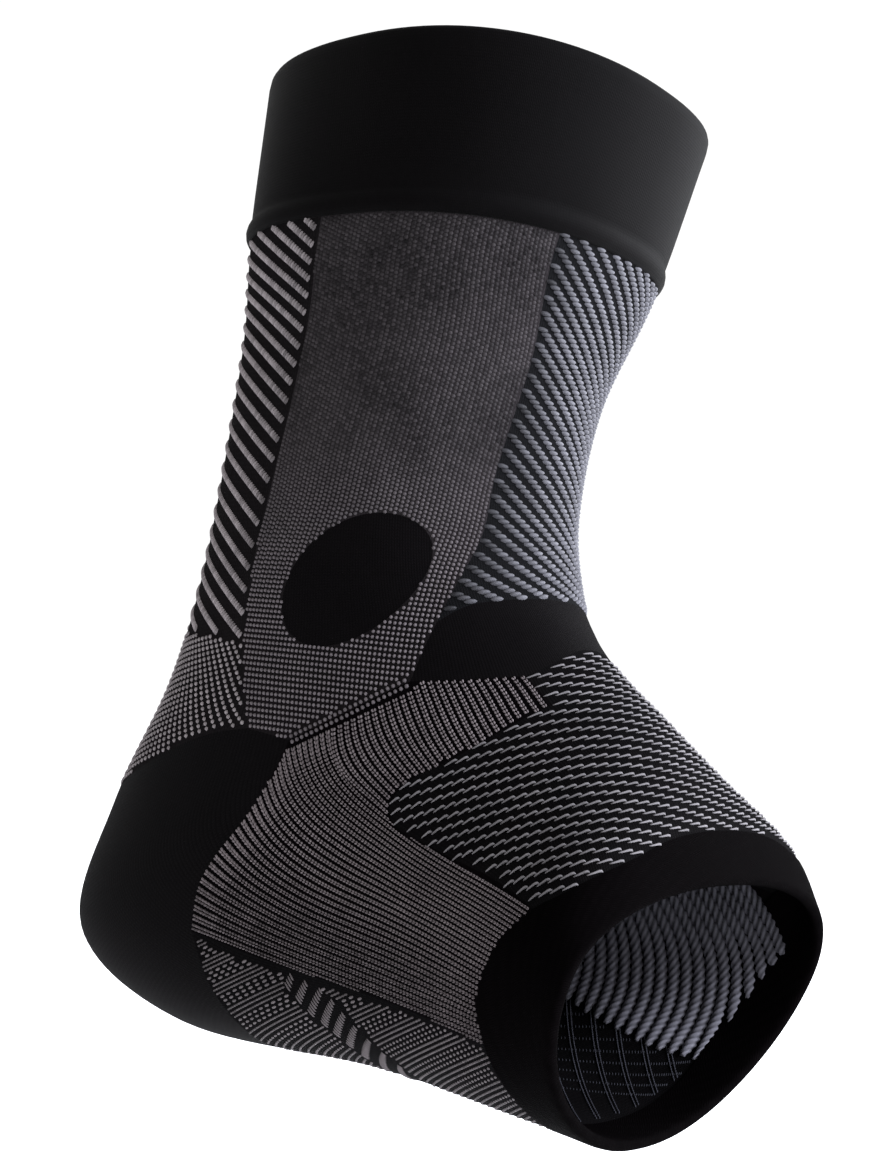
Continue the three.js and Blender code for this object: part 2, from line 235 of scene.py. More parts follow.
# Arch ribs in side view: how many start from each border, then angle and pull by share at each station
STRAP_RIBS = 14
GUSSET_STRAP_RIBS = 12
GUSSET_FOOT_RIBS = 7
HEEL_RIBS = 23
STRAP_LEAVE = ((0, -31, 1), (0.3, -45, 1), (0.55, -60, 1), (0.8, -72, 1.1), (1, -80, 1.2))
STRAP_ARRIVE = ((0, -31, 1), (0.3, -36, 1), (0.55, -32, 1), (0.8, -27, 1.1), (1, -22, 1.2))
FOOT_LEAVE = ((0, -78, 1), (0.25, -64, 1), (0.5, -42, 1), (0.8, -16, 1), (1, 0, 1))
FOOT_MIDDLE = ((0, -15, 1), (0.2, -10, 1), (0.5, -4, 1), (1, 0, 1))
FOOT_ARRIVE = ((0, -6, 1), (1, -1, 1))
STRAP_PAST = (44.6, -30.4)
FOOT_STATION = ((46.2, -31.2), (53.6, -47), (57.8, -63))
RIB_EDGE_STEP = 0.5
RIB_SAMPLES = 40

# A rib's two legs: half length of a stitch by length from the rib's start; least and most room between
# ribs; places and half width of the legs in widths of that room, and tone, by height, where the tone is
# painted shade that darkens the ribs towards the sole, and is a little darker at the top
RIB_STITCH = 0.92
STRAP_STITCH = ((0, 0.38), (1, 0.4))
FOOT_STITCH = ((0, 0.58), (4, 0.53), (8, 0.34))
RIB_SLANT = math.radians(14)
RIB_AHEAD = 0.3
RIB_ROOM = (0.75, 1.9)
RIB_LEGS = ((-62, 0.2), (-50, 0.155), (-38, 0.16), (-26, 0.19))
RIB_HALF_WIDE = ((-50, 0.15), (-38, 0.155), (-26, 0.175))
RIB_PAINTED_SHADE = ((-62, -0.55), (-54, -0.4), (-46, 0), (-36, 0), (-26, -0.2))
RIB_SPREAD = 0.6
RIB_HEIGHT = 0.34
RIB_MARGIN = 0.2

# Instep dashes: one dash as along, across, lift and thickness; rows lie in planes across DASH_WAY; half
# length by turn from the front, then scale across and off the knit
DASH_PATH = (
    (-1, -0.2, -0.04, 0.11), (-0.62, -0.18, 0.14, 0.17), (0, 0.01, 0.24, 0.21),
    (0.5, 0.18, 0.28, 0.25), (0.84, 0.2, 0.22, 0.25), (1, 0.13, 0.02, 0.14),
)
DASH_SIDES = 5
DASH_WAY = (0.245, 0.462, 0.852)
DASH_TOP = -12
DASH_SPACING = 2.38
DASH_ROWS = 31
DASH_PITCH = 2.3
DASH_SHIFT = 0.37
DASH_AHEAD = 0.5
DASH_LONG = ((35, 1.55), (62, 1.35), (82, 1))
DASH_SIZE = (1.05, 0.95)
DASH_TWIST = math.radians(5)
DASH_SPREAD = 0.4
DASH_TURNS = np.linspace(-1.8, 1.8, 500)
DASH_SECTIONS = np.linspace(4.6, RIM, 300)
DASH_END = 1
DASH_MARGIN = 0.3

# Sole ribs in side view, in groups of plain ribs and of dashes: pitch, half length, half width and tone,
# where the pitch and half length of the dashes go by place forwards; then the edge of the black wedge
SOLE_SLANT = math.radians(30.5)
SOLE_START = (-45, -92)
SOLE_REACH = 66
SOLE_PITCH = 0.84
SOLE_RIBS = 84
SOLE_GROUP = 3
SOLE_PLAIN = (0.95, 0.56, 0.24, -0.2)
SOLE_DASH_PITCH = ((30, 2.5), (52, 1.5))
SOLE_DASH = ((30, 0.85), (52, 0.4))
SOLE_DASH_WIDE = 0.29
SOLE_DASH_TONE = 0.3
SOLE_RIB_HEIGHT = 0.2
SOLE_SPREAD = 0.6
SOLE_MARGIN = 0.5
SOLE_WEDGE = ((0, -63.6), (15, -64.9), (30, -64.6), (44, -63.9), (60, -63), (85, -63))

# Leaning bars of crosswise stitches on the sole: line through their middles, half the run of each, half
# length of a stitch by place along the bar, and the strip that the ribs leave free
SOLE_BAR_LINE = ((30.6, -65.2), (39.2, -68.4), (45.2, -73.2), (51, -78.8))
SOLE_BAR_RUN = (
    (0.8, 1.5), (1.4, 2.3), (2.1, 3.1), (2.2, 3.1), (2.3, 2.9), (2.5, 2.8), (2.8, 2.8), (3, 2.9), (3, 3),
)
SOLE_BAR_STEP = 0.8
SOLE_BAR_STITCH = ((-1, 1.15), (0.3, 1), (1, 0.65))
SOLE_BAR_SIZE = (0.17, 0.28)
SOLE_BAR_TWIST = math.radians(68)
SOLE_BAR_TONE = 0.4
SOLE_BAR_SPREAD = 0.2
SOLE_BAR_STRIP = (
    (28.2, -62.5), (33, -62.5), (43.2, -66), (48.6, -70.4), (54.8, -75.6), (56.5, -88), (47.6, -88),
    (43, -78.1), (37.3, -72.9), (28.9, -68.1),
)

# Ropes on the inner face, seen through the toe opening: their route as height and way forwards; the turn
# where they end, by section; the section where they end, by height; and their tone by height, a painted
# shadow of the toe band above that darkens them towards the top
INNER_ROUTE = (
    (-30, -8), (-40, 0), (-45, 3.6), (-50, 7), (-55, 9.3), (-60, 11), (-65, 12.3), (-70, 13), (-75, 13.2),
)
INNER_SAMPLES = 160
INNER_FIRST = 36.6
INNER_PITCH = 2.88
INNER_ROPES = 18
INNER_STEP = 0.42
INNER_WIDE = 1.24
INNER_LIFT = 1.75
INNER_END = ((9, 127), (9.4, 133), (9.8, 136.5), (10.3, 134))
INNER_LAST = ((-75, 10.2), (-55, 10.22), (-45, 10.42), (-35, 10.6))
INNER_TAPER = 0.12
INNER_THINNEST = 0.1
INNER_FEWEST = 8
INNER_PAINTED_SHADOW = ((-75, 0.35), (-62, 0), (-50, -0.45), (-40, -0.85))

# A rope's strands, the depth of the grooves between them, and how far they run in one turn
CORD_SIDES = 16
CORD_STRANDS = 4
CORD_GROOVE = 0.16
CORD_TURN = 7.6

# Grid on the inner face of the sole: skewed double lines, and slanted rows of ticks by turn
GRID_TURNS = np.radians(np.linspace(124, 236, 120))
GRID_SECTIONS = np.linspace(7.5, RIM - 0.6, 260)
GRID_SKEW = 0.85
GRID_START = 71.2
GRID_PITCH = 6.2
GRID_DOUBLE = 1.0
GRID_LINES = 6
GRID_LINE_SPAN = (8.3, 10.25)
GRID_LINE_SIZE = (0.8, 0.2, 0.3)
GRID_LINE_TONE = 0.2
GRID_BARS = 8
GRID_BAR_SPAN = (8.7, 10.22)
GRID_BAR_FIRST = 132
GRID_BAR_STEP = 7.5
GRID_BAR_SLOPE = 28
GRID_BAR_MIDDLE = 9.2
GRID_TICK = 0.016
GRID_TICK_SIZE = (0.62, 0.17, 0.2)
GRID_TICK_TONE = -0.3
GRID_LEAN = 0.95
GRID_SPREAD = 0.4

# Fineness of the modelled ground: columns round the sleeve, rows along it, points on a border
COLUMNS = 112
BODY_ROWS = 120
BORDER_STEPS = 8
OVAL_POINTS = 60
BODY_TOP = 0.985
BODY_END = RIM - 0.5
SMOOTH_ANGLE = math.radians(50)
TINY = 1e-12
SAME_PLACE = 1e-6

# Sides of a domed stitch and of a rope's stitch, and rings of the ball they are cut from
DOT_SIDES = 6
ROPE_SIDES = 8
BALL_RINGS = 4

# Steps along measured paths, for slopes of the form, and how far a place may miss its spot in side view
PATH_STEPS = 400
SIDE_STEPS = 1400
NORMAL_STEP = 0.01
SIDE_MISS = 0.1
CHANCE = np.random.default_rng(7)

# Map of the cloth: girth, and length of one section
KNIT_GIRTH = 250
KNIT_STEP = 25

# Knit and yarn: rise of the legs' V, swell of a row; shares of fibres and patches in the yarn's level
KNIT_V = 0.6
KNIT_SWELL = 0.35
YARN_LEVEL = 0.55
FIBRE_SHARE = 0.4
PATCH_SHARE = 0.5
PATCH_SCALE = 60
PATCH_DETAIL = 3
FIBRE_DETAIL = 2
CLOTH_SPREAD = 0.5
CLOTH_FIBRE = 900
CLOTH_BUMP = 0.6
YARN_FIBRE = 2600
YARN_BUMP = 0.35
YARN_DEPTH = 0.12
SHEEN_ROUGH = 0.45

# Camera at the photo's viewing angle
IMAGE_SIZE = (888, 1170)
SENSOR = 36
CAMERA_TURN = -53.89
CAMERA_RISE = -0.99
CAMERA_ROLL = 9.62
CAMERA_FAR = 387.3
CAMERA_AIM = (24.04, 11.02)
CAMERA_CLIP = (0.01, 100)
FOCAL_PIXELS = 1744.65
SHIFT_PIXELS = (22.91, 7.17)

# Soft lights: way to the right, towards the camera and up, distance and size in metres, watts, colour
LIGHTS = {
    "key": ((0.9, 0.3, 0.3), 1.2, 0.7, 52, (0.87, 0.91, 1)),
    "right_rim": ((0.9, -0.55, 0.2), 1.2, 0.7, 17, (0.92, 0.94, 1)),
}
WORLD_LIGHT = 1.05

# Floor in metres
FLOOR_SIZE = 30
FLOOR_HEIGHT = -0.2


# Form of the sleeve

def spline(rows, places):
    """Smooth curve through rows set at equal steps, read at the given places."""
    rows = np.asarray(rows, float)
    places = np.clip(np.asarray(places, float), 0, len(rows) - 1)
    padded = np.vstack([2 * rows[0] - rows[1], rows, 2 * rows[-1] - rows[-2]])
    step = np.minimum(places.astype(int), len(rows) - 2)
    w = (places - step)[..., None]
    a, b, c, d = (padded[step + k] for k in range(4))
    square, cube = 2 * a - 5 * b + 4 * c - d, 3 * b - a - 3 * c + d
    return 0.5 * (2 * b + (c - a) * w + square * w ** 2 + cube * w ** 3)


def signed_power(value, power):
    return np.sign(value) * np.abs(value) ** power


def form(t, turn):
    """Points on the sleeve's outer face, in metres."""
    rows = spline(FORM, t)
    front, back = rows[..., 0:2], rows[..., 2:4]
    half, egg, square, sway = (rows[..., k] for k in range(4, 8))
    fore = signed_power(np.cos(turn), 2 / square)
    across = signed_power(np.sin(turn), 2 / square)
    side = back + (front - back) * (0.5 + 0.5 * fore)[..., None]
    return np.stack([sway + half * across * (1 - egg * fore), -side[..., 0], side[..., 1]], -1) * MM


def unit(vectors):
    return vectors / np.maximum(np.linalg.norm(vectors, axis=-1, keepdims=True), TINY)


def outward(t, turn):
    along = form(np.minimum(t + NORMAL_STEP, RIM), turn) - form(np.maximum(t - NORMAL_STEP, 0), turn)
    around = form(t, turn + NORMAL_STEP) - form(t, turn - NORMAL_STEP)
    return unit(np.cross(along, around))


def lifted(t, turn, lift):
    t, turn, lift = np.broadcast_arrays(np.asarray(t, float), turn, lift)
    return form(t, turn) + outward(t, turn) * (lift * MM)[..., None]


def side_view(points):
    """Places in side view, in millimetres, of points in metres."""
    return np.stack([-points[..., 1], points[..., 2]], -1) / MM


def from_side(places):
    """(t, turn) of places in side view, on the left side, where turn is positive."""
    places = np.asarray(places, float)
    table = np.linspace(0, RIM, SIDE_STEPS)
    rows = spline(FORM, table)
    front, back = rows[:, 0:2], rows[:, 2:4]
    chord = front - back
    reach = places[:, None, :] - back[None]
    off = chord[None, :, 0] * reach[..., 1] - chord[None, :, 1] * reach[..., 0]
    flips = off[:, :-1] * off[:, 1:] <= 0
    step = np.argmax(flips, axis=1)
    pick = np.arange(len(places))
    w = off[pick, step] / (off[pick, step] - off[pick, step + 1] + TINY)
    t = table[step] + w * (table[1] - table[0])
    rows = spline(FORM, t)
    front, back, square = rows[:, 0:2], rows[:, 2:4], rows[:, 6]
    chord = front - back
    fore = 2 * ((places - back) * chord).sum(-1) / (chord ** 2).sum(-1) - 1
    return t, np.arccos(np.clip(signed_power(np.clip(fore, -1, 1), square / 2), -1, 1))


def border_line(name):
    points = BORDERS[name]
    if len(points) == 2:
        return np.array(points, float)
    return spline(points, np.linspace(0, len(points) - 1, BORDER_STEPS * (len(points) - 1) + 1))


def outline_of(steps):
    """Closed outline through borders and corners, with doubled corners dropped."""
    runs = []
    for step in steps:
        if not isinstance(step, str):
            runs.append(np.array([step], float))
        elif step.startswith("-"):
            runs.append(border_line(step[1:])[::-1])
        else:
            runs.append(border_line(step))
    outline = np.vstack(runs)
    gap = np.linalg.norm(outline - np.roll(outline, -1, axis=0), axis=1)
    return outline[gap > SAME_PLACE]


def oval(margin=0.0):
    turn = np.linspace(0, 2 * np.pi, OVAL_POINTS, endpoint=False)
    long, short, tilt = PAD_LONG + margin, PAD_SHORT + margin, math.radians(PAD_TILT)
    x, y = long * np.cos(turn), short * np.sin(turn)
    return np.stack([PAD_CENTRE[0] + x * math.cos(tilt) - y * math.sin(tilt),
                     PAD_CENTRE[1] + x * math.sin(tilt) + y * math.cos(tilt)], -1)


OUTLINES = {name: outline_of(steps) for name, steps in ZONES.items()}


def inside(outline, places):
    """Which places in side view lie inside a closed outline."""
    x, y = places[..., 0, None], places[..., 1, None]
    x1, y1 = outline[:, 0], outline[:, 1]
    x2, y2 = np.roll(x1, -1), np.roll(y1, -1)
    spans = (y1 > y) != (y2 > y)
    rise = np.where(y2 == y1, TINY, y2 - y1)
    crossing = x1 + (y - y1) / rise * (x2 - x1)
    return (np.count_nonzero(spans & (x < crossing), axis=-1) % 2) == 1


def well_inside(outline, places, margin):
    """Which places keep about a margin to the outline."""
    kept = inside(outline, places)
    for step in ((margin, 0), (-margin, 0), (0, margin), (0, -margin)):
        kept &= inside(outline, places + np.array(step))
    return kept


# Modelling

def deselect():
    if bpy.context.mode != "OBJECT":
        bpy.ops.object.mode_set(mode="OBJECT")
    bpy.ops.object.select_all(action="DESELECT")


def pick(piece):
    deselect()
    piece.select_set(True)
    bpy.context.view_layer.objects.active = piece


def face_outwards():
    """Turns the faces of the piece in edit mode outwards, and leaves edit mode."""
    bpy.ops.mesh.select_all(action="SELECT")
    bpy.ops.mesh.normals_make_consistent(inside=False)
    bpy.ops.object.mode_set(mode="OBJECT")


def lay_ring(piece, ring):
    """Puts the newest ring of vertices on its places."""
    mesh = bmesh.from_edit_mesh(piece.data)
    mesh.verts.ensure_lookup_table()
    for vertex, place in zip(mesh.verts[-len(ring):], ring):
        vertex.co = place
    bmesh.update_edit_mesh(piece.data)


def drawn_tube(name, rings, closed=False):
    """A circle extruded from ring to ring, each new ring laid on its section. Closed, it bridges back."""
    deselect()
    bpy.ops.mesh.primitive_circle_add(vertices=len(rings[0]), radius=SECTIONS[0][3] * MM, location=(0, 0, 0))
    piece = bpy.context.active_object
    piece.name = name
    piece.data.name = name
    bpy.ops.object.mode_set(mode="EDIT")
    bpy.ops.mesh.select_mode(type="EDGE")
    bpy.ops.mesh.select_all(action="SELECT")
    lay_ring(piece, rings[0])
    for ring in rings[1:]:
        bpy.ops.mesh.extrude_edges_move()
        lay_ring(piece, ring)
    if closed:
        mesh = bmesh.from_edit_mesh(piece.data)
        mesh.verts.ensure_lookup_table()
        for vertex in mesh.verts:
            vertex.select = False
        for edge in mesh.edges:
            edge.select = edge.is_boundary
        bmesh.update_edit_mesh(piece.data)
        bpy.ops.mesh.bridge_edge_loops()
    face_outwards()
    return piece


def mark_knit(piece, places_along):
    """UV map in metres of knit: across the wales in u and along them in v."""
    layer = piece.data.uv_layers.new(name="knit")
    loops = np.zeros(len(piece.data.loops), np.int32)
    piece.data.loops.foreach_get("vertex_index", loops)
    row, column = loops // COLUMNS, (loops % COLUMNS).astype(float)
    for polygon in piece.data.polygons:
        span = slice(polygon.loop_start, polygon.loop_start + polygon.loop_total)
        cells = column[span]
        if cells.max() - cells.min() > COLUMNS / 2:
            column[span] = np.where(cells < COLUMNS / 2, cells + COLUMNS, cells)
    places = np.stack([column / COLUMNS * KNIT_GIRTH * MM, np.asarray(places_along)[row] * MM], -1)
    layer.data.foreach_set("uv", places.astype(np.float32).ravel())


def apply_modifier(piece, kind, **settings):
    pick(piece)
    modifier = piece.modifiers.new(kind.lower(), kind)
    for key, value in settings.items():
        setattr(modifier, key, value)
    bpy.ops.object.modifier_apply(modifier=modifier.name)


def prism(outline, from_x, to_x):
    """A side-view outline drawn across the sleeve, as a cutter."""
    deselect()
    bpy.ops.mesh.primitive_circle_add(vertices=len(outline), radius=ACROSS * MM, fill_type="NGON")
    cutter = bpy.context.active_object
    bpy.ops.object.mode_set(mode="EDIT")
    lay_ring(cutter, [(from_x * MM, -forward * MM, height * MM) for forward, height in outline])
    bpy.ops.mesh.select_all(action="SELECT")
    bpy.ops.mesh.extrude_region_move(TRANSFORM_OT_translate={"value": ((to_x - from_x) * MM, 0, 0)})
    face_outwards()
    return cutter


def copied(source, name):
    piece = source.copy()
    piece.data = source.data.copy()
    piece.name = name
    piece.data.name = name
    bpy.context.scene.collection.objects.link(piece)
    return piece


def knit_ground(source, name, outline, side, hole):
    """The part of a knit wall inside a side-view outline, on both sides or on one."""
    piece = copied(source, name)
    from_x = 0 if side == LEFT else -ACROSS
    to_x = 0 if side == RIGHT else ACROSS
    for shape, operation in ((outline, "INTERSECT"), (hole, "DIFFERENCE")):
        if shape is not None:
            cutter = prism(shape, from_x, to_x)
            apply_modifier(piece, "BOOLEAN", object=cutter, operation=operation, solver="MANIFOLD")
            bpy.data.objects.remove(cutter)
    return piece


def smooth(piece):
    pick(piece)
    bpy.ops.object.shade_smooth_by_angle(angle=SMOOTH_ANGLE)


ROUND = np.linspace(-math.pi, math.pi, COLUMNS, endpoint=False)


def knit_tube(name, rows, closed=False):
    """A tube of knit through rows of (t, lift off the form, length along the knit)."""
    rings = [lifted(np.full(COLUMNS, t), ROUND, lift) for t, lift, _ in rows]
    tube = drawn_tube(name, rings, closed)
    mark_knit(tube, [length for _, _, length in rows])
    return tube


# Stitches

def taken(model):
    """Corners and faces of a modelled stitch, which is then put away."""
    corners = np.array([vertex.co for vertex in model.data.vertices])
    faces = [tuple(polygon.vertices) for polygon in model.data.polygons]
    bpy.data.objects.remove(model)
    return corners, faces


def domed_stitch(sides):
    """The upper half of a ball, with its rim down on the knit."""
    deselect()
    bpy.ops.mesh.primitive_uv_sphere_add(segments=sides, ring_count=BALL_RINGS, radius=1, location=(0, 0, 0))
    ball = bpy.context.active_object
    bpy.ops.object.mode_set(mode="EDIT")
    bpy.ops.mesh.select_all(action="SELECT")
    bpy.ops.mesh.bisect(plane_co=(0, 0, 0), plane_no=(0, 0, 1), clear_inner=True)
    bpy.ops.object.mode_set(mode="OBJECT")
    return taken(ball)


def hooked_stitch():
    """A float of yarn that rises along its length and hooks down at its end."""
    turn = np.linspace(0, 2 * np.pi, DASH_SIDES, endpoint=False)
    rings = []
    for along, across, lift, thick in DASH_PATH:
        ring = (np.full(DASH_SIDES, along), across + thick * np.cos(turn), lift + thick * np.sin(turn))
        rings.append(np.stack(ring, -1))
    dash = drawn_tube("dash", rings)
    bpy.ops.object.mode_set(mode="EDIT")
    bpy.ops.mesh.select_all(action="SELECT")
    bpy.ops.mesh.fill_holes(sides=DASH_SIDES)
    face_outwards()
    return taken(dash)


def yarn_piece(name, mesh, tone):
    """A piece of smooth yarn, with a tone at each corner."""
    mesh.polygons.foreach_set("use_smooth", np.ones(len(mesh.polygons), bool))
    layer = mesh.attributes.new("tone", "FLOAT", "POINT")
    layer.data.foreach_set("value", tone.astype(np.float32))
    piece = bpy.data.objects.new(name, mesh)
    bpy.context.scene.collection.objects.link(piece)
    return piece


def sewn(name, stitch, stitches):
    """Copies of one stitch joined in a mesh. Rows of stitches: place, way of the yarn, way off the knit,
    half length, half width and height in millimetres, and tone."""
    place, along, up, size, tone = gathered(stitches)
    shape, faces = stitch
    along = unit(along - up * (along * up).sum(-1, keepdims=True))
    axes = np.stack([along, np.cross(up, along), up], 1) * (size * MM)[..., None]
    corners = place[:, None] + np.einsum("vk,nkc->nvc", shape, axes)
    first = np.arange(len(place))[:, None] * len(shape)
    loops = (first + np.concatenate([np.array(face) for face in faces])).ravel()
    sides = np.tile([len(face) for face in faces], len(place))
    mesh = bpy.data.meshes.new(name)
    mesh.vertices.add(corners.shape[0] * corners.shape[1])
    mesh.vertices.foreach_set("co", corners.astype(np.float32).ravel())
    mesh.loops.add(len(loops))
    mesh.loops.foreach_set("vertex_index", loops.astype(np.int32))
    mesh.polygons.add(len(sides))
    mesh.polygons.foreach_set("loop_start", np.concatenate([[0], np.cumsum(sides)[:-1]]).astype(np.int32))
    mesh.update(calc_edges=True)
    return yarn_piece(name, mesh, np.repeat(tone, len(shape)))


def gathered(rows):
    """Several rows of stitches as one."""
    return tuple(np.concatenate(column) for column in zip(*rows))


def picked(stitches, kept):
    return tuple(column[kept] for column in stitches)


def swung(along, up, angle):
    """A way on the knit turned about the way off it."""
    angle = np.broadcast_to(angle, along.shape[:1])[:, None]
    return along * np.cos(angle) + np.cross(up, along) * np.sin(angle)


def tones(count, spread=0.5):
    return CHANCE.uniform(0.5 - spread / 2, 0.5 + spread / 2, count)


def sized(count, *sizes):
    """Half length, half width and height of each stitch."""
    return np.stack([np.broadcast_to(value, (count,)) for value in sizes], -1).astype(float)


# Lines on the knit

def from_table(table, at):
    """Values of a table of (place, value), in straight steps between its rows."""
    return np.interp(at, *zip(*table))


def stepped(table, start, end):
    """Lengths from start to past the end, each a pitch from the last, with the pitch from a table."""
    at = [start]
    while at[-1] < end:
        at.append(at[-1] + from_table(table, at[-1]))
    return np.array(at)


def length_along(points):
    """Length of a line up to each of its points."""
    return np.concatenate([[0], np.cumsum(np.linalg.norm(np.diff(points, axis=0), axis=1))])


def points_at(line, at):
    """Points of a line at lengths along it."""
    run = length_along(line)
    return np.stack([np.interp(at, run, line[:, k]) for k in range(line.shape[1])], -1)


def along_line(line, step):
    """Places at equal steps on a line."""
    return points_at(line, np.arange(step / 2, length_along(line)[-1], step))


def part_of(line, start, end):
    """The part of a line between two shares of its length."""
    return points_at(line, np.linspace(start, end, RIB_SAMPLES) * length_along(line)[-1])


def spaced(line, count):
    """Places spread evenly along a line, half a step in from its ends."""
    return points_at(line, (np.arange(count) + 0.5) / count * length_along(line)[-1])


def apart_from(line, places, gap):
    """Which places in side view keep a gap to a line."""
    start, run = line[:-1], np.diff(line, axis=0)
    reach = places[:, None] - start
    along = np.clip((reach * run).sum(-1) / (run ** 2).sum(-1), 0, 1)
    return np.linalg.norm(reach - along[..., None] * run, axis=-1).min(1) > gap


def on_spot(points, spots):
    """Which points, in metres, lie on their spots in side view."""
    return np.linalg.norm(side_view(points) - spots, axis=1) < SIDE_MISS


def laid_out(line, step):
    """(t, turn) at equal steps along a line in side view, as far as it lies on the sleeve."""
    t, turn = from_side(line)
    t, turn = picked((t, turn), on_spot(form(t, turn), line))
    if len(t) < 2:
        return None
    length = length_along(form(t, turn)) / MM
    at = np.arange(0, length[-1], step)
    return np.interp(at, length, t), np.interp(at, length, turn)


def trimmed(rows, zone, margin, border=None, gap=0.0):
    """Stitches well inside a knit's outline, and with a gap to one of its borders."""
    places = side_view(rows[0])
    kept = well_inside(OUTLINES[zone], places, margin)
    if border:
        kept &= apart_from(border_line(border), places, gap)
    return picked(rows, kept)


def border_turn(*names):
    """Turn of a border that runs down the leg, as a table over t."""
    t, turn = from_side(np.vstack([border_line(name) for name in names]))
    order = np.argsort(t)
    return lambda at: np.interp(at, t[order], turn[order])


def traced(t, turn, rise, step, count):
    """Lines over the knit from their starts towards the left, at an angle to the level that depends on
    the place."""
    lines = [(t, turn)]
    h = NORMAL_STEP
    for _ in range(count):
        down = (form(np.minimum(t + h, RIM), turn) - form(np.maximum(t - h, 0), turn)) / (2 * h)
        left = (form(t, turn + h) - form(t, turn - h)) / (2 * h)
        off = unit(np.cross(down, left))
        level = unit(np.cross(np.array([0.0, 0.0, 1.0]), off))
        angle = rise(t, turn)[:, None]
        way = level * np.cos(angle) + np.cross(off, level) * np.sin(angle)
        dd, ll, dl = (down ** 2).sum(-1), (left ** 2).sum(-1), (down * left).sum(-1)
        wd, wl = (way * down).sum(-1), (way * left).sum(-1)
        rest = dd * ll - dl ** 2
        t = np.clip(t + (wd * ll - wl * dl) / rest * step * MM, 0, RIM)
        turn = turn + (wl * dd - wd * dl) / rest * step * MM
        lines.append((t, turn))
    return np.stack([a for a, _ in lines], 1), np.stack([b for _, b in lines], 1)


def set_down(t, turn, next_t, next_turn, lift=0.0, inner=False):
    """Places on the knit, the way to the next place, and the way off the knit."""
    off = outward(t, turn)
    place = form(t, turn) + off * lift * MM
    return place, unit(form(next_t, next_turn) - form(t, turn)), -off if inner else off


def set_in_line(t, turn, lift=0.0, inner=False):
    """Places of a line but its last, each with its way to the next."""
    return set_down(t[:-1], turn[:-1], t[1:], turn[1:], lift, inner)


def laid_along(t, turn, size, twist, tone):
    """Stitches on each place of traced lines but the last, turned by twist from the line."""
    place, along, up = set_down(*(a.ravel() for a in (t[:, :-1], turn[:, :-1], t[:, 1:], turn[:, 1:])))
    return place, swung(along, up, twist), up, sized(len(place), *size), tone


# Patterns

def panel_beads(side):
    """Fine beads down the side panel, in wales that spread and rows that open towards the heel."""
    t = np.linspace(CUFF_BASE, PANEL_END, PANEL_STEPS)
    turn = np.linspace(0, np.pi, GIRTH_STEPS)
    runs = [length_along(ring) for ring in form(t[:, None], turn[None]) / MM]
    front = "panel_front_left" if side == LEFT else "panel_front"
    edges = [border_turn("panel_back_upper", "panel_back_lower")(t), border_turn(front, "crease_panel")(t)]
    middle = np.mean([[np.interp(e, turn, run) for e, run in zip(edge, runs)] for edge in edges], axis=0)
    pitch = from_table(WALE_PITCH, t)
    course = stepped(COURSE_PITCH, PANEL_FIRST_ROW, PANEL_LENGTH)
    gap = from_table(COURSE_PITCH, course)
    openness = from_table(BEAD_OPENNESS, course)
    long, wide, high = (close + (loose - close) * openness for close, loose in zip(BEAD_CLOSE, BEAD_OPEN))
    rows = []
    for wale in range(-PANEL_WALES, PANEL_WALES + 1):
        wale_turn = np.array([np.interp(m + wale * p, run, turn) for m, p, run in zip(middle, pitch, runs)])
        length = length_along(form(t, wale_turn) / MM)
        at = course + gap * (0.5 - 0.5 * openness) * (wale % 2)
        here, ahead = np.interp(at, length, t), np.interp(at + PANEL_AHEAD, length, t)
        around, next_around = np.interp(here, t, wale_turn), np.interp(ahead, t, wale_turn)
        size = sized(len(at), gap * long, np.interp(here, t, pitch) * wide, high)
        tone = tones(len(at), BEAD_SPREAD) + BEAD_CONTRAST * (openness - BEAD_EVEN)
        stitches = (*set_down(here, side * around, ahead, side * next_around), size, tone)
        rows.append(picked(stitches, at < length[-1]))
    rows = gathered(rows)
    rows = picked(rows, ~inside(oval(PAD_CLEAR), side_view(rows[0])))
    return trimmed(rows, "side_left" if side == LEFT else "side", PANEL_MARGIN, "gusset", GUSSET_CLEAR)


def gusset_beads(side):
    """Two rows of large beads where the side panel meets the ribs."""
    line = along_line(border_line("gusset"), GUSSET_PITCH)
    way = unit(np.gradient(line, axis=0))
    rows = []
    for shift in (GUSSET_SHIFT, -GUSSET_SHIFT):
        places = line + np.stack([-way[:, 1], way[:, 0]], -1) * shift
        t, turn = from_side(places)
        next_t, next_turn = from_side(places + way)
        size = sized(len(t), *GUSSET_SIZE)
        rows.append((*set_down(t, side * turn, next_t, side * next_turn), size, tones(len(t)) + GUSSET_TONE))
    return gathered(rows)


def shin_ropes():
    """Twisted ropes from the right edge of the shin down to the left, as far as the crease."""
    edge = border_turn("panel_front")
    t = np.linspace(ROPE_FIRST, ROPE_LAST, PATH_STEPS)
    run = length_along(form(t, -edge(t)) / MM)
    start = np.interp(np.arange(0, run[-1], ROPE_PITCH), run, t)

    def slope(at, _):
        return -np.radians(from_table(ROPE_SLOPE, at))

    t, turn = traced(start, -edge(start) + ROPE_EDGE_TURN, slope, ROPE_STITCH, ROPE_COUNT)
    # Painted shade: the ropes' tone darkens towards their start at the side panel's edge
    fade = from_table(ROPE_PAINTED_SHADE, np.arange(ROPE_COUNT) * ROPE_STITCH)
    rows = laid_along(t, turn, ROPE_SIZE, ROPE_TWIST, tones(t[:, 1:].size) + np.tile(fade, len(t)))
    places = side_view(rows[0])
    t, turn = t[:, :-1].ravel(), turn[:, :-1].ravel()
    on_left, on_right = (well_inside(OUTLINES[zone], places, ROPE_MARGIN) for zone in ("shin_left", "shin"))
    kept = np.where(turn > 0, on_left, on_right)
    return picked(rows, kept & (t > CUFF_BASE) & (np.abs(turn) < np.pi / 2))


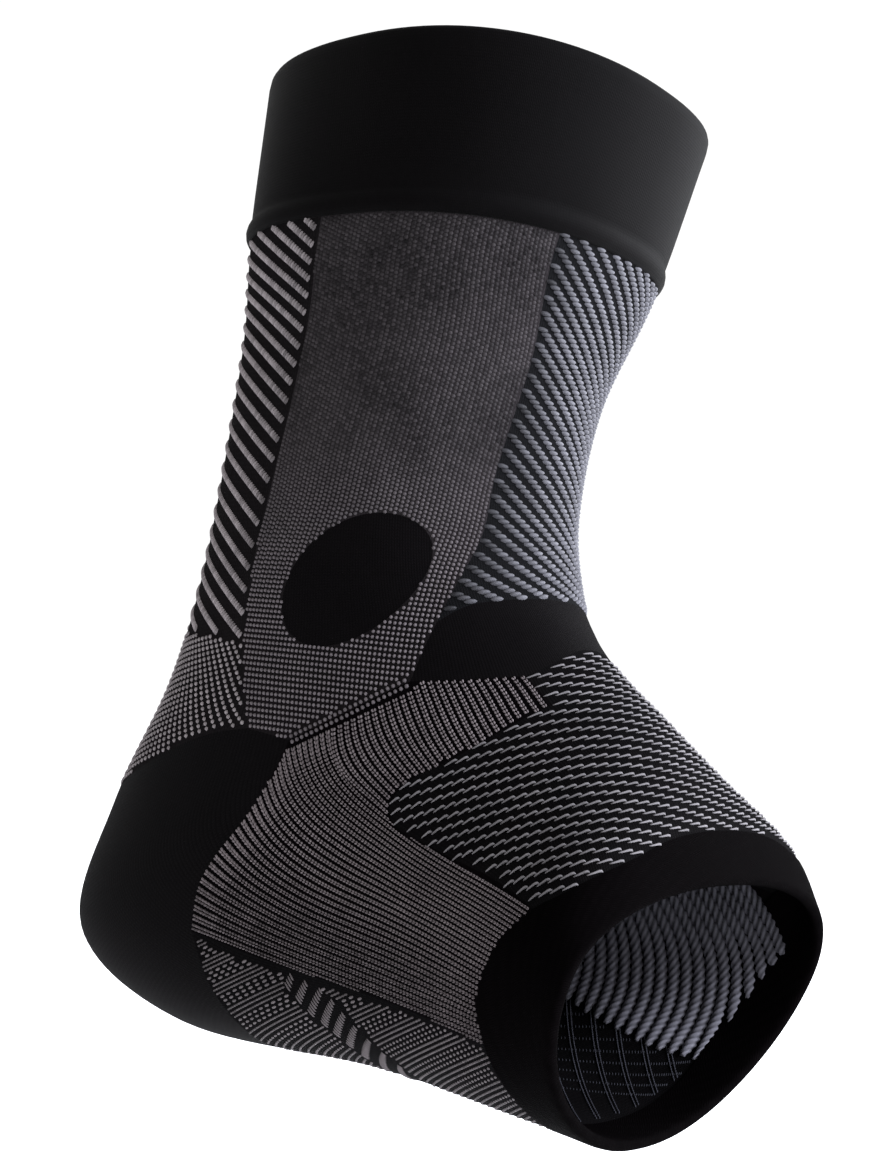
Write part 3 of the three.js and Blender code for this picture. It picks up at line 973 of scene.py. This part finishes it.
def cord_stripes(side):
    """Diagonal stripes of crosswise stitches, rising from the side panel to the middle of the back."""
    edge = border_turn("panel_back_upper")
    t = np.linspace(STRIPE_FIRST, STRIPE_LAST, PATH_STEPS)
    run = length_along(form(t, edge(t)) / MM)
    start = np.interp(stepped(STRIPE_PITCH, 0, run[-1]), run, t)

    def rise(_, around):
        return np.radians(from_table(STRIPE_RISE, np.degrees(around)))

    t, turn = traced(start, edge(start), rise, STRIPE_STITCH, STRIPE_COUNT)
    fade = from_table(STRIPE_TONE, np.arange(STRIPE_COUNT) * STRIPE_STITCH)
    tone = tones(t[:, 1:].size, STRIPE_SPREAD) + np.tile(fade, len(t))
    rows = laid_along(t, side * turn, STRIPE_SIZE, np.pi / 2, tone)
    t, turn = t[:, :-1].ravel(), turn[:, :-1].ravel()
    rows = picked(rows, (t > CUFF_BASE) & (turn < np.pi))
    return trimmed(rows, "stripes", STRIPE_MARGIN, "panel_back_upper", STRIPE_CLEAR)


def heel_cord_dots(side):
    """Columns of dots between the stripes and the heel."""
    sections = np.linspace(*CORD_DOT_SECTIONS, CORD_DOT_ROWS)
    t, turn = np.meshgrid(sections, np.linspace(CORD_DOT_TURN, np.pi, CORD_DOT_COLUMNS), indexing="ij")
    turn = turn + (np.arange(CORD_DOT_ROWS) % 2)[:, None] * (turn[0, 1] - turn[0, 0]) / 2
    t, turn = picked((t.ravel(), turn.ravel()), turn.ravel() < np.pi)
    on_knit = set_down(t, side * turn, t + NORMAL_STEP, side * turn)
    rows = (*on_knit, sized(len(t), *CORD_DOT_SIZE), tones(len(t)))
    return trimmed(rows, "heel_cord", CORD_DOT_MARGIN, "panel_back_lower", STRIPE_CLEAR)


def swept_ribs(stations, angles):
    """Smooth ribs in side view through stations, each with its own table of angles and pulls."""
    share = (np.arange(len(stations[0])) + 0.5) / len(stations[0])
    ways = []
    for table in angles:
        at, degrees, pull = zip(*table)
        way = np.radians(np.interp(share, at, degrees))
        ways.append(np.stack([np.cos(way), np.sin(way)], -1) * np.interp(share, at, pull)[:, None])
    u = np.linspace(0, 1, RIB_SAMPLES)[None, :, None]
    legs = []
    for a, b, leave, arrive in zip(stations[:-1], stations[1:], ways[:-1], ways[1:]):
        chord = np.linalg.norm(b - a, axis=1)[:, None]
        out, home = (leave * chord)[:, None], (arrive * chord)[:, None]
        leg = (a[:, None] * (2 * u ** 3 - 3 * u ** 2 + 1) + out * (u ** 3 - 2 * u ** 2 + u)
               + b[:, None] * (3 * u ** 2 - 2 * u ** 3) + home * (u ** 3 - u ** 2))
        legs.append(leg if b is stations[-1] else leg[:, :-1])
    return np.concatenate(legs, axis=1)


def rib_stitches(ribs, half_long, side):
    """Each rib as a chain of two slanted legs a stitch, as wide as its neighbours leave room for."""
    way = unit(np.gradient(ribs, axis=1))
    beside = np.diff(ribs, axis=0)
    beside = np.concatenate([beside, beside[-1:]])
    room = np.abs(way[..., 0] * beside[..., 1] - way[..., 1] * beside[..., 0])
    rows = []
    for line, pitch in zip(ribs, room):
        t, turn = from_side(line)
        length = length_along(form(t, side * turn) / MM)
        at = np.arange(RIB_STITCH / 2, length[-1] - RIB_AHEAD, RIB_STITCH)
        here, around = np.interp(at, length, t), np.interp(at, length, turn)
        ahead, next_around = np.interp(at + RIB_AHEAD, length, t), np.interp(at + RIB_AHEAD, length, turn)
        place, along, up = set_down(here, side * around, ahead, side * next_around)
        wide = np.clip(np.interp(at, length, pitch), *RIB_ROOM)
        height = place[:, 2] / MM
        size = sized(len(at), from_table(half_long, at), from_table(RIB_HALF_WIDE, height) * wide, RIB_HEIGHT)
        aside = np.cross(up, along) * (from_table(RIB_LEGS, height) * wide * MM)[:, None]
        for hand in (-1, 1):
            # Painted shade: the tone by height darkens the ribs towards the sole, and a little at the top
            tone = tones(len(at), RIB_SPREAD) + from_table(RIB_PAINTED_SHADE, height)
            rows.append((place + hand * aside, swung(along, up, -hand * RIB_SLANT), up, size, tone))
    return gathered(rows)


def arch_ribs(side):
    """Ribs from the crease and the upper gusset to the strap's edge, and from the rest to the toe band."""
    gusset = border_line("gusset")[::-1]
    share = GUSSET_STRAP_RIBS / (GUSSET_STRAP_RIBS + GUSSET_FOOT_RIBS)
    edge = along_line(border_line("strap_low"), RIB_EDGE_STEP)
    edge = edge[:np.argmin(np.linalg.norm(edge - STRAP_PAST, axis=1)) + 1]
    strap = np.vstack([spaced(border_line("crease_strap")[::-1], STRAP_RIBS),
                       spaced(part_of(gusset, 0, share), GUSSET_STRAP_RIBS)])
    foot = np.vstack([spaced(part_of(gusset, share, 1), GUSSET_FOOT_RIBS),
                      spaced(border_line("heel_front"), HEEL_RIBS)])
    middle = spaced(spline(FOOT_STATION, np.linspace(0, len(FOOT_STATION) - 1, RIB_SAMPLES)), len(foot))
    strap_ribs = swept_ribs([strap, spaced(edge, len(strap))], [STRAP_LEAVE, STRAP_ARRIVE])
    foot_ribs = swept_ribs([foot, middle, spaced(border_line("toe_side"), len(foot))],
                           [FOOT_LEAVE, FOOT_MIDDLE, FOOT_ARRIVE])
    rows = gathered([rib_stitches(strap_ribs, STRAP_STITCH, side),
                     rib_stitches(foot_ribs, FOOT_STITCH, side)])
    return trimmed(rows, "arch", RIB_MARGIN, "gusset", GUSSET_RIB_CLEAR)


def instep_dashes():
    """Rows of hooked floats over the instep, each row in a plane that slants forwards."""
    level = -(form(DASH_SECTIONS[:, None], DASH_TURNS[None]) / MM) @ np.array(DASH_WAY)
    rows = []
    for number in range(DASH_ROWS):
        at = number * DASH_SPACING - DASH_TOP
        t = np.array([np.interp(at, column, DASH_SECTIONS) for column in level.T])
        length = length_along(form(t, DASH_TURNS)) / MM
        step = np.arange(DASH_PITCH * (number * DASH_SHIFT % 1), length[-1] - DASH_END, DASH_PITCH)
        spots = [np.interp(step + ahead, length, column)
                 for ahead in (0, DASH_AHEAD) for column in (t, DASH_TURNS)]
        place, along, up = set_down(*spots)
        half_long = from_table(DASH_LONG, np.abs(np.degrees(spots[1])))
        size = sized(len(step), half_long, *DASH_SIZE)
        stitches = (place, swung(along, up, DASH_TWIST), up, size, tones(len(step), DASH_SPREAD))
        rows.append(picked(stitches, (spots[0] > DASH_SECTIONS[1]) & (spots[0] < DASH_SECTIONS[-2])))
    return trimmed(gathered(rows), "instep", DASH_MARGIN)


def sole_ribs(side):
    """Slanted ribs under the foot, in groups: plain, then of dashes."""
    way = np.array([math.cos(SOLE_SLANT), math.sin(SOLE_SLANT)])
    run = np.linspace(0, SOLE_REACH, PATH_STEPS)[:, None] * way
    rows = []
    for number in range(SOLE_RIBS):
        start = np.array(SOLE_START) + np.array([number * SOLE_PITCH / math.sin(SOLE_SLANT), 0])
        pitch, half_long, half_wide, shade = SOLE_PLAIN
        if number // SOLE_GROUP % 2:
            forward = start[0] + SOLE_REACH / 2
            pitch, half_long = from_table(SOLE_DASH_PITCH, forward), from_table(SOLE_DASH, forward)
            half_wide, shade = SOLE_DASH_WIDE, SOLE_DASH_TONE
        spots = laid_out(start + way * (number % 2) * pitch / 2 + run, pitch)
        if spots is None:
            continue
        t, turn = spots
        size = sized(len(t) - 1, half_long, half_wide, SOLE_RIB_HEIGHT)
        rows.append((*set_in_line(t, side * turn), size, tones(len(t) - 1, SOLE_SPREAD) + shade))
    rows = trimmed(gathered(rows), "sole", SOLE_MARGIN)
    places = side_view(rows[0])
    below = places[:, 1] < from_table(SOLE_WEDGE, places[:, 0])
    return picked(rows, below & ~inside(np.array(SOLE_BAR_STRIP), places))


def sole_bars(side):
    """Leaning bars of crosswise stitches in a strip across the sole, black between them."""
    rows = []
    for number, run in enumerate(SOLE_BAR_RUN):
        share = number / (len(SOLE_BAR_RUN) - 1)
        middle = spline(SOLE_BAR_LINE, np.array(share * (len(SOLE_BAR_LINE) - 1)))
        reach = np.linspace(-1, 1, round(2 * math.hypot(*run) / SOLE_BAR_STEP) + 1)
        line = middle + reach[:, None] * np.array(run)
        t, turn = from_side(line)
        place, along, up = set_in_line(t, side * turn)
        size = sized(len(place), from_table(SOLE_BAR_STITCH, reach[:-1]), *SOLE_BAR_SIZE)
        tone = tones(len(place), SOLE_BAR_SPREAD) + SOLE_BAR_TONE
        stitches = (place, swung(along, up, -side * SOLE_BAR_TWIST), up, size, tone)
        rows.append(picked(stitches, on_spot(place, line[:-1])))
    return trimmed(gathered(rows), "sole", SOLE_MARGIN)


def twisted(name, cords):
    """Cords joined in a mesh, each a tube whose strands wind round it. Cords: places, way across, way off
    and girth."""
    turn = np.linspace(0, 2 * np.pi, CORD_SIDES, endpoint=False)
    corners, faces, tone = [], [], []
    first = 0
    for place, across, up, girth in cords:
        wind = 2 * np.pi * np.arange(len(place)) * INNER_STEP / CORD_TURN
        strand = 1 + CORD_GROOVE * np.cos(CORD_STRANDS * (turn[None] - wind[:, None]))
        wide = strand * girth[:, None] * INNER_WIDE * MM
        ring = (place[:, None] + across[:, None] * (np.cos(turn) * wide)[..., None]
                + up[:, None] * (np.sin(turn) * wide)[..., None])
        corners.append(ring.reshape(-1, 3))
        # Painted shadow of the toe band: the ropes' tone darkens with height towards the top of the opening
        shade = from_table(INNER_PAINTED_SHADOW, place[:, 2] / MM)
        # Painted shade: each rope's tone is lighter on the strands' crests and darker in the grooves between
        # them
        tone.append((0.5 + (strand - 1) / CORD_GROOVE * 0.5 + shade[:, None]).ravel())
        for row in range(len(place) - 1):
            a = first + row * CORD_SIDES
            for k in range(CORD_SIDES):
                b = (k + 1) % CORD_SIDES
                faces.append((a + k, a + b, a + CORD_SIDES + b, a + CORD_SIDES + k))
        last = first + (len(place) - 1) * CORD_SIDES
        faces.append(tuple(range(first + CORD_SIDES - 1, first - 1, -1)))
        faces.append(tuple(range(last, last + CORD_SIDES)))
        first = last + CORD_SIDES
    mesh = bpy.data.meshes.new(name)
    mesh.from_pydata(np.concatenate(corners).tolist(), [], faces)
    return yarn_piece(name, mesh, np.concatenate(tone))


def inner_ropes(side):
    """Thick twisted ropes down the inner face beside the foot, seen through the toe opening."""
    cords = []
    height, forwards = spline(INNER_ROUTE, np.linspace(0, len(INNER_ROUTE) - 1, INNER_SAMPLES)).T
    for number in range(INNER_ROPES):
        line = np.stack([INNER_FIRST + number * INNER_PITCH + forwards, height], -1)
        spots = laid_out(line, INNER_STEP)
        if spots is None:
            continue
        t, turn = spots
        end = np.radians(from_table(INNER_END, t))
        last = from_table(INNER_LAST, form(t, turn)[:, 2] / MM)
        girth = np.clip(np.minimum(last - t, end - turn) / INNER_TAPER, 0, 1) ** 0.5
        kept = girth > INNER_THINNEST
        if np.count_nonzero(kept) < INNER_FEWEST:
            continue
        place, along, up = set_in_line(t[kept], side * turn[kept], -INNER_LIFT, inner=True)
        cords.append((place, unit(np.cross(up, along)), up, girth[kept][:-1]))
    return cords


def inner_grid():
    """Double lines and slanted rows of ticks on the inner face of the sole."""
    ring = form(GRID_SECTIONS[:, None], GRID_TURNS[None]) / MM
    skewed = -ring[..., 1] + GRID_SKEW * ring[..., 0]
    rows = []
    for number in range(GRID_LINES):
        for half in (-0.5, 0.5):
            level = GRID_START + number * GRID_PITCH + half * GRID_DOUBLE
            t = np.array([np.interp(level, column, GRID_SECTIONS) for column in skewed.T])
            count = len(t) - 1
            stitches = (*set_in_line(t, GRID_TURNS, -INNER_LIFT, inner=True), sized(count, *GRID_LINE_SIZE),
                        tones(count, GRID_SPREAD) + GRID_LINE_TONE)
            rows.append(picked(stitches, ((t > GRID_LINE_SPAN[0]) & (t < GRID_LINE_SPAN[1]))[:-1]))
    t = np.arange(*GRID_BAR_SPAN, GRID_TICK)
    for number in range(GRID_BARS):
        turn = np.radians(GRID_BAR_FIRST + number * GRID_BAR_STEP - GRID_BAR_SLOPE * (t - GRID_BAR_MIDDLE))
        on_knit = set_down(t, turn, t + NORMAL_STEP * GRID_LEAN, turn + NORMAL_STEP, -INNER_LIFT, inner=True)
        stitches = (*on_knit, sized(len(t), *GRID_TICK_SIZE), tones(len(t), GRID_SPREAD) + GRID_TICK_TONE)
        rows.append(picked(stitches, turn > np.radians(from_table(INNER_END, t))))
    return gathered(rows)


# Materials

def new_group(name, inputs, outputs):
    """A node group with named sockets, given as (name, kind, value)."""
    group = bpy.data.node_groups.new(name, "ShaderNodeTree")
    for label, kind, value in inputs:
        socket = group.interface.new_socket(label, in_out="INPUT", socket_type=f"NodeSocket{kind}")
        if value is not None:
            socket.default_value = value
    for label, kind in outputs:
        group.interface.new_socket(label, in_out="OUTPUT", socket_type=f"NodeSocket{kind}")
    return group, group.nodes.new("NodeGroupInput").outputs, group.nodes.new("NodeGroupOutput").inputs


def feed(tree, socket, value):
    """Links a socket to another one, or sets it to a value."""
    if isinstance(value, bpy.types.NodeSocket):
        tree.links.new(value, socket)
    else:
        socket.default_value = value


def fed_node(tree, kind, **values):
    """A node with some of its inputs fed, named with _ for each space."""
    node = tree.nodes.new(f"ShaderNode{kind}")
    for label, value in values.items():
        feed(tree, node.inputs[label.replace("_", " ")], value)
    return node


def calc(tree, operation, *values):
    """A Math node on sockets and numbers, as its output."""
    node = tree.nodes.new("ShaderNodeMath")
    node.operation = operation
    for socket, value in zip(node.inputs, values):
        feed(tree, socket, value)
    return node.outputs[0]


def knit_rows_group():
    """Height of fine plain knit, from a map of the cloth: legs that meet in a V, in wales and rows."""
    inputs = (("Map", "Vector", None), ("Wale", "Float", MM), ("Row", "Float", MM))
    group, given, put = new_group("knit rows", inputs, (("Height", "Float"),))
    split = fed_node(group, "SeparateXYZ", Vector=given["Map"]).outputs
    across = calc(group, "FRACT", calc(group, "DIVIDE", split["X"], given["Wale"]))
    leg = calc(group, "MULTIPLY", calc(group, "ABSOLUTE", calc(group, "SUBTRACT", across, 0.5)), 2.0)
    along = calc(group, "DIVIDE", split["Y"], given["Row"])
    row = calc(group, "ADD", along, calc(group, "MULTIPLY", leg, KNIT_V))
    swell = calc(group, "SINE", calc(group, "MULTIPLY", row, 2 * math.pi))
    round_leg = calc(group, "SINE", calc(group, "MULTIPLY", leg, math.pi))
    swollen = calc(group, "MULTIPLY_ADD", swell, KNIT_SWELL, 1 - KNIT_SWELL)
    group.links.new(calc(group, "MULTIPLY", round_leg, swollen), put["Height"])
    return group


def yarn_group():
    """Colour of yarn that changes from stitch to stitch and along its fibres, and the fibres' height."""
    inputs = (("Colour", "Color", (0.1, 0.1, 0.1, 1)), ("Place", "Vector", None), ("Tone", "Float", 0.5),
              ("Spread", "Float", CLOTH_SPREAD), ("Fibre", "Float", YARN_FIBRE))
    group, given, put = new_group("yarn", inputs, (("Colour", "Color"), ("Height", "Float")))
    place = given["Place"]
    fibre, patch = (fed_node(group, "TexNoise", Vector=place, Scale=scale, Detail=detail).outputs["Fac"]
                    for scale, detail in ((given["Fibre"], FIBRE_DETAIL), (PATCH_SCALE, PATCH_DETAIL)))
    stitch = calc(group, "MULTIPLY", calc(group, "SUBTRACT", given["Tone"], 0.5), given["Spread"])
    soft = calc(group, "MULTIPLY_ADD", fibre, FIBRE_SHARE, calc(group, "MULTIPLY", patch, PATCH_SHARE))
    level = calc(group, "ADD", calc(group, "ADD", stitch, YARN_LEVEL), soft)
    scale = fed_node(group, "VectorMath", Vector=given["Colour"])
    scale.operation = "SCALE"
    group.links.new(level, scale.inputs["Scale"])
    group.links.new(scale.outputs[0], put["Colour"])
    group.links.new(fibre, put["Height"])
    return group


KNIT_ROWS = knit_rows_group()
YARN = yarn_group()


def started(name, rough, gloss, sheen=0.0):
    material = bpy.data.materials.new(name)
    material.use_nodes = True
    shader = material.node_tree.nodes["Principled BSDF"]
    shader.inputs["Roughness"].default_value = rough
    shader.inputs["Specular IOR Level"].default_value = gloss
    shader.inputs["Sheen Weight"].default_value = sheen
    shader.inputs["Sheen Roughness"].default_value = SHEEN_ROUGH
    return material, material.node_tree, shader


def placed_group(tree, group, **values):
    node = tree.nodes.new("ShaderNodeGroup")
    node.node_tree = group
    for label, value in values.items():
        feed(tree, node.inputs[label], value)
    return node


def bumped(tree, shader, height, strength, depth):
    bump = fed_node(tree, "Bump", Strength=strength, Distance=depth * MM, Height=height)
    tree.links.new(bump.outputs["Normal"], shader.inputs["Normal"])


def knit_material(name, colour, wale=1.2, row=1.0, depth=0.1, slant=0, rough=0.85, gloss=0.005, sheen=0.0,
                  fade=None):
    """Plain knit cloth. slant turns its wales, and fade is (colour, from height, to height)."""
    material, tree, shader = started(name, rough, gloss, sheen)
    cloth = tree.nodes.new("ShaderNodeUVMap")
    cloth.uv_map = "knit"
    turned_map = fed_node(tree, "Mapping", Vector=cloth.outputs["UV"], Rotation=(0, 0, math.radians(slant)))
    rows = placed_group(tree, KNIT_ROWS, Map=turned_map.outputs[0], Wale=wale * MM, Row=row * MM)
    height = rows.outputs["Height"]
    place = tree.nodes.new("ShaderNodeTexCoord").outputs["Object"]
    # Painted shade: the knit's height also sets the yarn's tone, so the colour darkens in the hollows between
    # the legs
    yarn = placed_group(tree, YARN, Colour=(*colour, 1), Place=place, Tone=height, Spread=CLOTH_SPREAD,
                        Fibre=CLOTH_FIBRE)
    if fade:
        far_colour, low, high = fade
        split = fed_node(tree, "SeparateXYZ", Vector=place)
        change = fed_node(tree, "MapRange", Value=split.outputs["Z"], From_Min=low * MM, From_Max=high * MM)
        change.interpolation_type = "SMOOTHSTEP"
        ramp = fed_node(tree, "ValToRGB", Fac=change.outputs["Result"])
        ramp.color_ramp.elements[0].color = (*colour, 1)
        ramp.color_ramp.elements[1].color = (*far_colour, 1)
        tree.links.new(ramp.outputs["Color"], yarn.inputs["Colour"])
    tree.links.new(yarn.outputs["Colour"], shader.inputs["Base Color"])
    bumped(tree, shader, height, CLOTH_BUMP, depth)
    return material


def yarn_material(name, colour, spread=0.7, rough=0.6, gloss=0.05):
    """Raised stitches, each a little lighter or darker than the next."""
    material, tree, shader = started(name, rough, gloss)
    tone = tree.nodes.new("ShaderNodeAttribute")
    tone.attribute_name = "tone"
    place = tree.nodes.new("ShaderNodeTexCoord").outputs["Object"]
    yarn = placed_group(tree, YARN, Colour=(*colour, 1), Place=place, Tone=tone.outputs["Fac"], Spread=spread,
                        Fibre=YARN_FIBRE)
    tree.links.new(yarn.outputs["Colour"], shader.inputs["Base Color"])
    bumped(tree, shader, yarn.outputs["Height"], YARN_BUMP, YARN_DEPTH)
    return material


BAND_CLOTH = knit_material("band_cloth", (0.0013, 0.0011, 0.0012), wale=0.7, row=0.6, depth=0.05, rough=0.6,
                           gloss=0.01, sheen=0.02)
TOE_CLOTH = knit_material("toe_cloth", (0.0009, 0.0007, 0.0008), wale=1.0, row=4.0, slant=40, rough=0.7,
                          gloss=0.0015)
BLACK_CLOTH = knit_material("black_cloth", (0.0017, 0.0014, 0.0016), wale=1.1, row=0.9, gloss=0.008,
                            sheen=0.018)
GROUND_CLOTH = knit_material("ground_cloth", (0.0013, 0.001, 0.0012))
STRIPE_CLOTH = knit_material("stripe_cloth", (0.0046, 0.004, 0.0043))
SHIN_CLOTH = knit_material("shin_cloth", (0.003, 0.003, 0.0034), depth=0.12, gloss=0.02)
INSTEP_CLOTH = knit_material("instep_cloth", (0.0022, 0.002, 0.0022), gloss=0.006)
PANEL_CLOTH = knit_material("panel_cloth", (0.005, 0.0042, 0.0046), wale=1.1, row=0.9, gloss=0.01,
                            fade=((0.0125, 0.0109, 0.0118), 2, 40))
PANEL_YARN = yarn_material("panel_yarn", (0.0585, 0.0513, 0.0546))
RIB_YARN = yarn_material("rib_yarn", (0.112, 0.096, 0.1))
ROPE_YARN = yarn_material("rope_yarn", (0.061, 0.06, 0.068), gloss=0.1)
STRIPE_YARN = yarn_material("stripe_yarn", (0.15, 0.134, 0.138))
DASH_YARN = yarn_material("dash_yarn", (0.098, 0.0925, 0.097))
SOLE_YARN = yarn_material("sole_yarn", (0.062, 0.0545, 0.0565))
INNER_YARN = yarn_material("inner_yarn", (0.074, 0.072, 0.085))
GRID_YARN = yarn_material("grid_yarn", (0.021, 0.021, 0.026))
FLOOR = yarn_material("floor", (1, 1, 1), spread=0.0, rough=0.9, gloss=0.0)


# The sleeve

def finish_piece(piece, material, node):
    piece.data.materials.clear()
    piece.data.materials.append(material)
    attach(piece, "root")
    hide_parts(node)


def knit_piece(source, name, outline, cloth, node, side=BOTH, hole=None):
    """A piece of a knit wall, cut out, smoothed and finished."""
    piece = knit_ground(source, name, outline, side, hole)
    smooth(piece)
    finish_piece(piece, cloth, node)


body = knit_tube("body_wall", [(t, 0, t * KNIT_STEP) for t in np.linspace(BODY_TOP, BODY_END, BODY_ROWS)])
apply_modifier(body, "SOLIDIFY", thickness=KNIT_WALL * MM, offset=-1)
cuff = knit_tube("cuff", [(down / CUFF_HEIGHT, lift, down) for down, lift in CUFF_PROFILE], closed=True)
smooth(cuff)
finish_piece(cuff, BAND_CLOTH, "top_cuff")
ring = knit_tube("toe_ring", [(t, lift, t * KNIT_STEP) for t, lift in TOE_PROFILE], closed=True)
knit_piece(ring, "toe_rim_band", OUTLINES["toe"], TOE_CLOTH, "toe_band")
bpy.data.objects.remove(ring)
for zone, name, cloth, slot, node, side in (
    ("stripes", "heel_cord_ground", STRIPE_CLOTH, "stripe_knit", "heel_cord_stripes", BOTH),
    ("heel_cord", "heel_cord_foot_ground", STRIPE_CLOTH, "stripe_knit", "heel_cord_panel", BOTH),
    ("heel", "heel_knit", BLACK_CLOTH, "black_knit", "heel_cup", BOTH),
    ("crease", "crease_knit", BLACK_CLOTH, "black_knit", "crease_band", BOTH),
    ("instep", "instep_ground", INSTEP_CLOTH, "dash_knit", "instep_panel", BOTH),
    ("sole", "sole_ground", INSTEP_CLOTH, "dash_knit", "sole_panel", BOTH),
    ("shin", "shin_ground_right", SHIN_CLOTH, "rope_knit", "shin_panel", RIGHT),
    ("shin_left", "shin_ground_left", SHIN_CLOTH, "rope_knit", "shin_panel", LEFT),
):
    knit_piece(body, name, OUTLINES[zone], cloth, node, side)

DOT = domed_stitch(DOT_SIDES)
ROPE_DOT = domed_stitch(ROPE_SIDES)
DASH = hooked_stitch()
finish_piece(sewn("shin_ropes", ROPE_DOT, [shin_ropes()]), ROPE_YARN, "shin_panel")
for make, name, node in (
    (cord_stripes, "heel_cord_stripe_yarn", "heel_cord_stripes"),
    (heel_cord_dots, "heel_cord_dots", "heel_cord_panel"),
):
    finish_piece(sewn(name, DOT, [make(side) for side in SIDE_NAMES]), STRIPE_YARN, node)
finish_piece(sewn("instep_dashes", DASH, [instep_dashes()]), DASH_YARN, "instep_panel")
soles = [make(side) for side in SIDE_NAMES for make in (sole_ribs, sole_bars)]
finish_piece(sewn("sole_ribs", DOT, soles), SOLE_YARN, "sole_panel")
finish_piece(sewn("inner_grid", DOT, [inner_grid()]), GRID_YARN, "sole_panel")
for side, word in SIDE_NAMES.items():
    panel, pad, arch = (f"{part}_{word}" for part in ("side_panel", "ankle_pad", "arch_panel"))
    outline = OUTLINES["side_left" if side == LEFT else "side"]
    knit_piece(body, f"panel_ground_{word}", outline, PANEL_CLOTH, panel, side, oval())
    beads = sewn(f"panel_beads_{word}", DOT, [panel_beads(side), gusset_beads(side)])
    finish_piece(beads, PANEL_YARN, panel)
    knit_piece(body, f"pad_{word}", oval(), BLACK_CLOTH, pad, side)
    knit_piece(body, f"arch_ground_{word}", OUTLINES["arch"], GROUND_CLOTH, arch, side)
    finish_piece(sewn(f"arch_ribs_{word}", DOT, [arch_ribs(side)]), RIB_YARN, arch)
    finish_piece(twisted(f"inner_ropes_{word}", inner_ropes(side)), INNER_YARN, arch)
bpy.data.objects.remove(body)


# Studio

def view_axes():
    """Ways to the right, up and towards the camera, as the photo sees the sleeve."""
    turn, rise, roll = (math.radians(v) for v in (CAMERA_TURN, CAMERA_RISE, CAMERA_ROLL))
    back = np.array([math.sin(turn) * math.cos(rise), -math.cos(turn) * math.cos(rise), math.sin(rise)])
    level = np.array([math.cos(turn), math.sin(turn), 0])
    up = np.cross(back, level)
    return level * math.cos(roll) + up * math.sin(roll), up * math.cos(roll) - level * math.sin(roll), back


def set_up(name, data, right, above, back, place):
    thing = bpy.data.objects.new(name, data)
    bpy.context.scene.collection.objects.link(thing)
    thing.matrix_world = Matrix([[right[k], above[k], back[k], place[k]] for k in range(3)] + [[0, 0, 0, 1]])
    return thing


def make_camera():
    right, above, back = view_axes()
    place = (right * CAMERA_AIM[0] + above * CAMERA_AIM[1] + back * CAMERA_FAR) * MM
    data = bpy.data.cameras.new("camera")
    data.sensor_width = SENSOR
    data.lens = FOCAL_PIXELS * SENSOR / max(IMAGE_SIZE)
    data.shift_x = -SHIFT_PIXELS[0] / max(IMAGE_SIZE)
    data.shift_y = SHIFT_PIXELS[1] / max(IMAGE_SIZE)
    data.clip_start, data.clip_end = CAMERA_CLIP
    bpy.context.scene.camera = set_up("camera", data, right, above, back, place)


def make_lights():
    right, above, back = view_axes()
    for name, ((to_right, to_camera, up), far, size, watts, colour) in LIGHTS.items():
        way = unit(right * to_right + back * to_camera + above * up)
        across = unit(np.cross(above, way))
        data = bpy.data.lights.new(name, "AREA")
        data.size = size
        data.energy = watts
        data.color = colour
        set_up(name, data, across, np.cross(way, across), way, way * far)


def make_studio():
    bpy.context.scene.view_settings.view_transform = "Standard"
    world = bpy.data.worlds.new("studio")
    world.use_nodes = True
    world.node_tree.nodes["Background"].inputs["Color"].default_value = (1, 1, 1, 1)
    world.node_tree.nodes["Background"].inputs["Strength"].default_value = WORLD_LIGHT
    bpy.context.scene.world = world
    deselect()
    bpy.ops.mesh.primitive_plane_add(size=FLOOR_SIZE, location=(0, 0, FLOOR_HEIGHT))
    floor = bpy.context.active_object
    floor.name = "floor"
    floor.data.materials.append(FLOOR)


make_lights()
make_camera()
make_studio()
